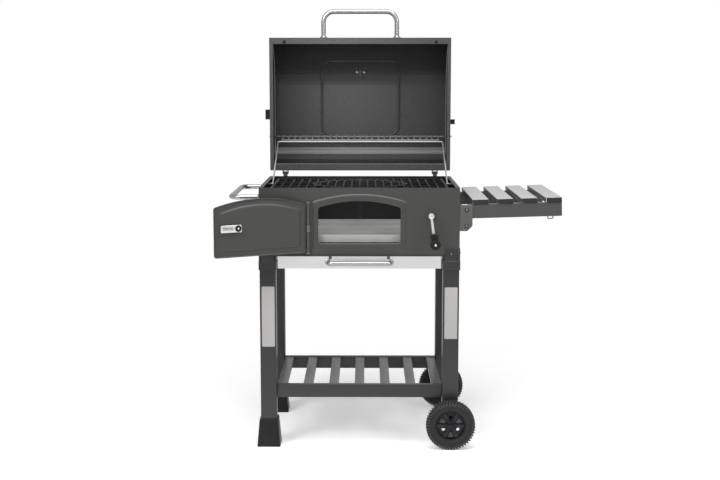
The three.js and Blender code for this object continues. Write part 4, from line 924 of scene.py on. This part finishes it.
def rib(centre, angle, offset, inner, outer, half):
    """One spoke rib: a thin upright bar from hub to ring, at a small offset from the spoke's line."""
    shape = rounded(inner, outer, offset - 1.1, offset + 1.1, 0.8, 3)
    return slab(spun(shape, angle), -half, half, about(centre), 0.6)


def wedge(centre, angle, radius):
    """A raised wedge between two spokes, outlined by two arcs and two radii."""
    t = np.linspace(-0.24, 0.24, 9)
    outer = (radius - 9) * np.stack([np.cos(t), np.sin(t)], -1)
    inner = 20 * np.stack([np.cos(t), 0.8 * np.sin(t)], -1)
    shape = np.concatenate([outer, inner[::-1]])
    return slab(spun(shape, angle), -8.0, 8.0, about(centre), 0.8)


tyre("front")
tyre("rear")
rim("front", -1)
rim("rear", 1)


# ------------------------------------------------------------------ fire door and latch
def node_points(node):
    """All mesh points of a node, in millimetres about home."""
    mesh = frame["nodes"][node].data
    points = np.empty(len(mesh.vertices) * 3, np.float32)
    mesh.vertices.foreach_get("co", points)
    return points.reshape(-1, 3).astype(float) / MM - HOME


DOOR_OPEN = math.radians(-153)
DOOR_PIN = np.array([-158.0, -6.0])
BARRELS = ((619, 680), (705, 770))
ALONG = np.array([math.cos(DOOR_OPEN), math.sin(DOOR_OPEN)])
INTO = np.array([-math.sin(DOOR_OPEN), math.cos(DOOR_OPEN)])


def door_place(x, z, h):
    """Door measures to space: along the leaf from its pin, up, and through it towards its inner face."""
    return DOOR_PIN[0] + x * ALONG[0] + h * INTO[0], DOOR_PIN[1] + x * ALONG[1] + h * INTO[1], z


def door_points(node):
    """A node's points in door measures: along the leaf, through it, and up."""
    points = node_points(node)
    flat = points[:, :2] - DOOR_PIN
    return np.stack([flat @ ALONG, flat @ INTO, points[:, 2]], -1)


def arched_rings(levels, low, high, shoulder_drop, middle, place):
    """An arched plate as rings: each level is (how far inwards, how high, corner radius)."""
    rows = []
    for inwards, height, corner in levels:
        shape = arch(low[0] + inwards, high[0] - inwards, low[2] + inwards, high[2] - shoulder_drop - inwards,
                     high[2] - inwards, corner, corner)
        ring = by_angle(shape, middle, 300)
        rows.append(np.stack(place(*ring.T, np.full(len(ring), height)), -1))
    return skin(np.stack(rows))


def door_leaf():
    """Depths of the leaf's outer face and of its lip, read from the door's own points away from the pin."""
    along, depth, _ = door_points("fire_door").T
    inside = depth[(along > 12) & (along < 300)]
    return inside.min(), inside.max()


def fire_door():
    """The door leaf from outside to inside: a soft outer edge, a turned lip, a flat border, and the pressed
    field that stands towards the fire. Its hinge barrels stay on the pin side."""
    low, high = (8.2, 0, 618.2), (307.7, 0, 792.8)
    outer, lip = door_leaf()
    leaf = outer + SHEET
    levels = [(6, outer, 5), (1.2, outer, 7), (0.3, outer + 0.35, 8), (0, outer + 1.1, 8), (0, lip - 0.9, 8),
              (0.3, lip - 0.25, 8), (0.9, lip, 8), (1.5, lip - 0.2, 7.5), (1.9, lip - 0.9, 7),
              (2.2, leaf + 0.8, 7), (3.0, leaf + 0.1, 6), (16.5, leaf, 9), (18, leaf + 0.4, 10),
              (19.8, leaf + 2.8, 11), (21.2, leaf + 3.2, 11), (26, leaf + 3.3, 11)]
    parts = [arched_rings(levels, low, high, 23, np.array([158.0, 700.0]), door_place)]
    barrels = []
    for foot, top in BARRELS:
        tall = top - foot
        barrel = [(0, 0), (5.2, 0), (5.7, 0.5), (5.7, tall - 0.5), (5.2, tall), (0, tall)]
        barrels.append(turned(barrel, (*DOOR_PIN, foot), UP, 24))
        strap = rounded(1.5, 12, foot + 1, top - 1, 1.5, 3)
        parts.append(slab(strap, outer + 0.2, outer + 1.6, door_place, 0.3))
    make("pressed_fire_door", "fire_door", PAINT, parts, ["fire_door"])
    make("door_hinge_barrels", "fire_door", BARREL_STEEL, barrels)
    cap = [(0, 0), (3.2, 0), (3.2, 2), (2.2, 3), (0, 3)]
    pin_top = home("door_hinge_pin")[1][2]
    make("door_pin_caps", "cart", BOLT, [turned(cap, (*DOOR_PIN, pin_top - 3.2), UP, 20)])


def latch():
    """A bright tongue with a low ridge on a dark hub with a bright screw, and the knob outside."""
    depth = door_points("door_latch")[:, 1]
    low, top = depth.min(), depth.max()
    x, z = 233.0, 706.0
    axis = (*INTO, 0)

    def point(h):
        return door_place(x, z, h)

    tongue = slab(rounded(x - 11, x + 56, z - 11, z + 11, 4, 5), top - 2, top, door_place, 0.35)
    ridge = slab(rounded(x + 14, x + 50, z - 5.5, z + 5.5, 4, 5), top - 0.6, top, door_place, 0.25)
    make("latch_tongue", "door_latch", LATCH_ZINC, [tongue, ridge])
    make("latch_screw", "door_latch", SCREW, bolt(point(top - 0.1), axis, 2.8, 1.5))
    hub = [(0, 0), (11, 0), (11, 1.6), (10, 2.3), (0, 2.3)]
    shaft = [(0, 0), (4, 0), (4, -low - 3), (0, -low - 3)]
    knob = [(0, 0), (13, 0), (16.2, 1.2), (17, 3.5), (17, 11), (15.5, 14.5), (9, 17), (0, 17)]
    parts = [turned(hub, point(top - 2.2), axis, 28), turned(shaft, point(low + 14), axis, 20),
             turned(knob, point(low), axis, 40)]
    make("latch_hub_and_knob", "door_latch", PLASTIC, parts, ["door_latch"])


fire_door()
latch()


# ------------------------------------------------------------------ crank
def crank_grip():
    """A round black knob on the crank's end, with a ring in its face, a black collar behind it, and a bright
    screw at each end of the arm."""
    points = node_points("crank")
    front = points[:, 1].min()
    tip = points[points[:, 1] < front + 3]
    middle = (tip.min(0) + tip.max(0)) / 2
    centre = np.array([middle[0], front - 0.5, middle[2]])
    knob = [(0, 0.0), (7.4, 0.0), (8.0, 0.5), (8.6, 0.0), (13, 0.2), (15.3, 1.4), (15.9, 3.6), (15.9, 22),
            (15.0, 25.2), (10, 26.4), (0, 26.4)]
    make("crank_knob", "crank", PLASTIC, [turned(knob, centre, DEPTH, 40)])
    upper_arm = points[(points[:, 1] < -12) & (points[:, 2] > 725)]
    nut = [(0, 0), (9.6, 0), (9.6, 2.4), (8.2, 4.2), (4, 5), (0, 5.2)]
    screws = bolt(centre + [0, 0.2, 0], -DEPTH, 3.4, 1.2)
    screws.append(turned(nut, (220, upper_arm[:, 1].min() + 2.2, 734), -DEPTH, 28))
    make("crank_screws", "crank", LATCH_ZINC, screws)
    collar = [(0, 0), (11, 0), (12.2, 1.0), (12.2, 6.5), (10.5, 8.4), (5, 9), (0, 9)]
    make("crank_collar", "crank", PLASTIC, [turned(collar, (229.0, centre[1] + 17.5, 671.0), -DEPTH, 36)])


crank_grip()


# ------------------------------------------------------------------ lid details
WALL_LEAN = math.radians(16.6)
INWARD = np.array([0, -math.cos(WALL_LEAN), -math.sin(WALL_LEAN)])
DIAL_SPOT = np.array([0, *WALL_TOP])


def thermometer():
    """Inside, two bright studs; outside, a bezel, a pale face with ticks, and a needle."""
    studs = []
    for x in (-13, 13):
        studs += bolt((x, float(back_wall(WALL_TOP[1])) + 0.2, WALL_TOP[1]), INWARD, 4.4, 6)
    make("thermometer_studs", "lid", SCREW, studs)
    outward = -INWARD
    v = np.cross(outward, ACROSS)
    face = ((node_points("thermometer") - DIAL_SPOT) @ outward).max()

    def on_dial(x, y, h):
        return tuple((DIAL_SPOT + np.outer(x, ACROSS) + np.outer(y, v) + np.outer(h, outward)).T)

    bezel = [(24.0, -4), (26.2, -4), (26.3, -1.6), (25.6, -0.8), (24.8, -0.8), (24.0, -1.4)]
    ring = hoop(bezel, DIAL_SPOT + face * outward, outward, ACROSS, v, 64)
    make("dial_bezel", "lid", CHROME, [ring])
    disc = 24.2 * circle(np.array([1, 0]), np.array([0, 1]), 64)
    make("dial_face", "lid", DIAL, [slab(disc, face - 2.0, face - 1.3, on_dial, 0.1)])
    bar = np.array([(17.5, -0.5), (22.0, -0.5), (22.0, 0.5), (17.5, 0.5)])
    marks = [slab(spun(bar, math.radians(90 - turn)), face - 1.4, face - 1.15, on_dial, 0.05)
             for turn in np.linspace(-130, 130, 14)]
    needle = np.array([(-1.4, -6), (1.4, -6), (0.5, 17), (-0.5, 17)])
    marks.append(slab(needle, face - 1.15, face - 0.8, on_dial, 0.05))
    make("dial_marks", "lid", DARK_COAT, marks)


def level_bar(half, y, z, radius, sides):
    """A straight round bead from side to side."""
    return tube(np.array([(-half, y, z), (half, y, z)], float), radius, DEPTH, sides)


def lid_bends():
    """Bends of the lid: rounded beads along the front of the roof and of the low wall, and the curved strip
    where the low wall turns up into the back wall, all in a pale coat as painted highlight on the bends."""
    low, high = home("lid_panel")
    make("lid_front_bead", "lid", BEND_HIGHLIGHT, [level_bar(306, 463.2, high[2] - 1.9, 1.85, 14)])
    t = np.linspace(0, 1, 12)[:, None]
    start, corner, end = np.array([(0, 668, 870.5), (0, 694, 877), (0, 694.3, 904)])
    curve = (1 - t) ** 2 * start + 2 * t * (1 - t) * corner + t ** 2 * end
    section = np.concatenate([curve, (curve + [0, 1.4, -0.2])[::-1]])
    strip = skin(np.stack([section + [x, 0, 0] for x in (-304, 304)]))
    make("lid_lower_bend", "lid", BEND_HIGHLIGHT, [strip])
    make("lid_foot_bead", "lid", BEND_HIGHLIGHT, [level_bar(304, 462.6, low[2] + 22.4, 0.9, 10)])


thermometer()
lid_bends()


# ------------------------------------------------------------------ lid vents
def vent_ribs(side):
    """Ribs on the three free sides of a vent's grip, as thin bars across it."""
    points = node_points(side + "_lid_vent")
    sign = 1 if points[:, 0].mean() > 0 else -1
    reach = np.abs(points[:, 0]).max()
    tip = points[np.abs(points[:, 0]) > reach - 0.6]
    low, high = tip.min(0) - 0.5, tip.max(0) + 0.5
    ribs = [block(sorted((x - 0.6, x + 0.6)), (low[1], high[1]), (low[2], high[2]), 2.0, 0.4)
            for x in np.linspace(sign * (reach - 16), sign * (reach - 2), 6)]
    make(side + "_vent_ribs", side + "_vent", PLASTIC, ribs)


vent_ribs("left")
vent_ribs("right")


# ------------------------------------------------------------------ side shelf brackets and feet
def bracket_screws():
    """Places of two screws on the outer face of each side shelf bracket."""
    places = []
    for node, way in (("front_side_shelf_bracket", -1), ("rear_side_shelf_bracket", 1)):
        low, high = home(node)
        y = (low if way < 0 else high)[1] + way * 0.05
        places += [((331, y, z), (0, way, 0), 5.4, 2.2) for z in (750, 700)]
    return places


fastener_set("bracket_screws", "cart", bracket_screws())
for piece_name in ("front_foot", "rear_foot"):
    softened(piece_name, PLASTIC, 1.6)
for piece_name in ("front_side_shelf_bracket", "rear_side_shelf_bracket"):
    softened(piece_name, BRACKET_COAT, 0.5)


# ------------------------------------------------------------------ carried-over nodes
FINISH = {"paint": PAINT, "leg_paint": LEG, "cast_iron": IRON, "chrome": CHROME, "zinc": ZINC,
          "silver_paint": PAINT, "plastic": PLASTIC, "rubber": RUBBER}
OWN_FINISH = {
    "lid_panel": LID_COAT, "lid_left_side": LID_COAT, "lid_right_side": LID_COAT, "thermometer": BOLT,
    "firebox_back_panel": BACK_COAT, "firebox_left_panel": LEFT_COAT, "firebox_right_panel": RIGHT_COAT,
    "charcoal_tray": TRAY, "lift_frame": DARK_COAT, "ash_drawer": ZINC, "warming_rack": WIRE, "rack_legs": WIRE,
    "crank": ZINC, "crank_bush": PAINT, "door_hinge_pin": BOLT, "side_shelf_frame": BEAM,
    "left_lid_hinge_base": DARK_COAT, "right_lid_hinge_base": DARK_COAT,
    "left_lid_hinge_leaf": DARK_COAT, "right_lid_hinge_leaf": DARK_COAT}


def dress_nodes():
    """Gives each node that still shows its material."""
    for node, thing in frame["nodes"].items():
        if not thing.hide_render:
            for place in thing.material_slots:
                place.material = OWN_FINISH.get(node, FINISH[SLOT_OF[node]])


dress_nodes()


# ------------------------------------------------------------------ floor and light
FADE_START, FADE_END = 0.45, 1.5  # metres from the object over which the floor turns white
SKY_LIGHT, SKY_IN_METAL = 0.27, 0.45  # strength of the world's light, and share of its white that metal shows


def shader_node(tree, kind, label, colour, strength=None):
    """A diffuse, glowing or background shader."""
    node = tree.nodes.new("ShaderNode" + kind)
    node.inputs[label].default_value = (*colour, 1)
    if strength is not None:
        feed(tree, strength, node.inputs["Strength"])
    return node.outputs[0]


def blend(tree, share, first, second):
    """A mix of two shaders."""
    mix = tree.nodes.new("ShaderNodeMixShader")
    for socket, value in zip(mix.inputs, (share, first, second)):
        tree.links.new(value, socket)
    return mix.outputs[0]


def floor():
    """A pale floor under the object that melts into the white around it with distance."""
    half = 4.0
    mesh = bpy.data.meshes.new("floor")
    corners = [(-half, -half, 0), (half, -half, 0), (half, half, 0), (-half, half, 0)]
    mesh.from_pydata(corners, [], [range(4)])
    thing = bpy.data.objects.new("floor", mesh)
    bpy.context.collection.objects.link(thing)
    material = bpy.data.materials.new("studio floor")
    material.use_nodes = True
    tree = material.node_tree
    tree.nodes.clear()
    place = tree.nodes.new("ShaderNodeTexCoord").outputs["Object"]
    fade = remap(tree, vector_node(tree, "LENGTH", place)["Value"], FADE_START, FADE_END, 0.0, 1.0)
    path = tree.nodes.new("ShaderNodeLightPath").outputs
    seen = math_node(tree, "MAXIMUM", path["Is Camera Ray"], path["Is Glossy Ray"])
    seen = math_node(tree, "MAXIMUM", seen, path["Is Transmission Ray"])
    both = tree.nodes.new("ShaderNodeAddShader")
    tree.links.new(shader_node(tree, "BsdfDiffuse", "Color", grey(0.97)), both.inputs[0])
    lift = math_node(tree, "MULTIPLY", seen, 0.31)
    tree.links.new(shader_node(tree, "Emission", "Color", grey(1), lift), both.inputs[1])
    glow = shader_node(tree, "Emission", "Color", grey(1), 1.0)
    shown = blend(tree, math_node(tree, "MULTIPLY", fade, seen), both.outputs[0], glow)
    tree.links.new(shown, tree.nodes.new("ShaderNodeOutputMaterial").inputs["Surface"])
    mesh.materials.append(material)


def world():
    """White where it is seen, a part of that where metal mirrors it, and a soft grey light otherwise."""
    sky = bpy.data.worlds.new("studio")
    bpy.context.scene.world = sky
    sky.use_nodes = True
    tree = sky.node_tree
    tree.nodes.clear()
    light = shader_node(tree, "Background", "Color", grey(1), SKY_LIGHT)
    white = shader_node(tree, "Background", "Color", grey(1), 1.0)
    path = tree.nodes.new("ShaderNodeLightPath").outputs
    mirrored = math_node(tree, "MULTIPLY", path["Is Glossy Ray"], SKY_IN_METAL)
    seen = math_node(tree, "MAXIMUM", path["Is Camera Ray"], path["Is Transmission Ray"])
    shown = blend(tree, math_node(tree, "MAXIMUM", seen, mirrored), light, white)
    tree.links.new(shown, tree.nodes.new("ShaderNodeOutputWorld").inputs["Surface"])


def lamp(name, kind, place, target, power):
    """A lamp that points at a target."""
    data = bpy.data.lights.new(name, kind)
    data.energy = power
    thing = bpy.data.objects.new(name, data)
    thing.location = place
    x, y, z = np.subtract(target, place)
    thing.rotation_euler = (math.atan2(math.hypot(x, y), -z), 0, math.pi + math.atan2(x, -y))
    bpy.context.collection.objects.link(thing)
    return data


def softbox(name, place, target, width, height, power):
    data = lamp(name, "AREA", place, target, power)
    data.shape = "RECTANGLE"
    data.size = width
    data.size_y = height


def pool(name, place, target, power, angle, size):
    """A soft-edged round pool of light."""
    data = lamp(name, "SPOT", place, target, power)
    data.spot_size = math.radians(angle)
    data.spot_blend = 1.0
    data.shadow_soft_size = size


floor()
world()
softbox("top_light", (0.2, -0.9, 3.1), (0, 0.0, 0.8), 2.6, 2.0, 78)
softbox("left_light", (-2.2, -2.9, 2.9), (0, 0, 0.7), 1.5, 1.5, 72)
softbox("right_light", (2.6, -2.5, 2.4), (0, 0, 0.8), 1.2, 1.5, 30)
pool("lid_pool", (-0.25, -2.7, 1.35), (-0.10, 0.35, 1.07), 26, 15, 0.25)
bpy.context.scene.view_settings.view_transform = "Standard"
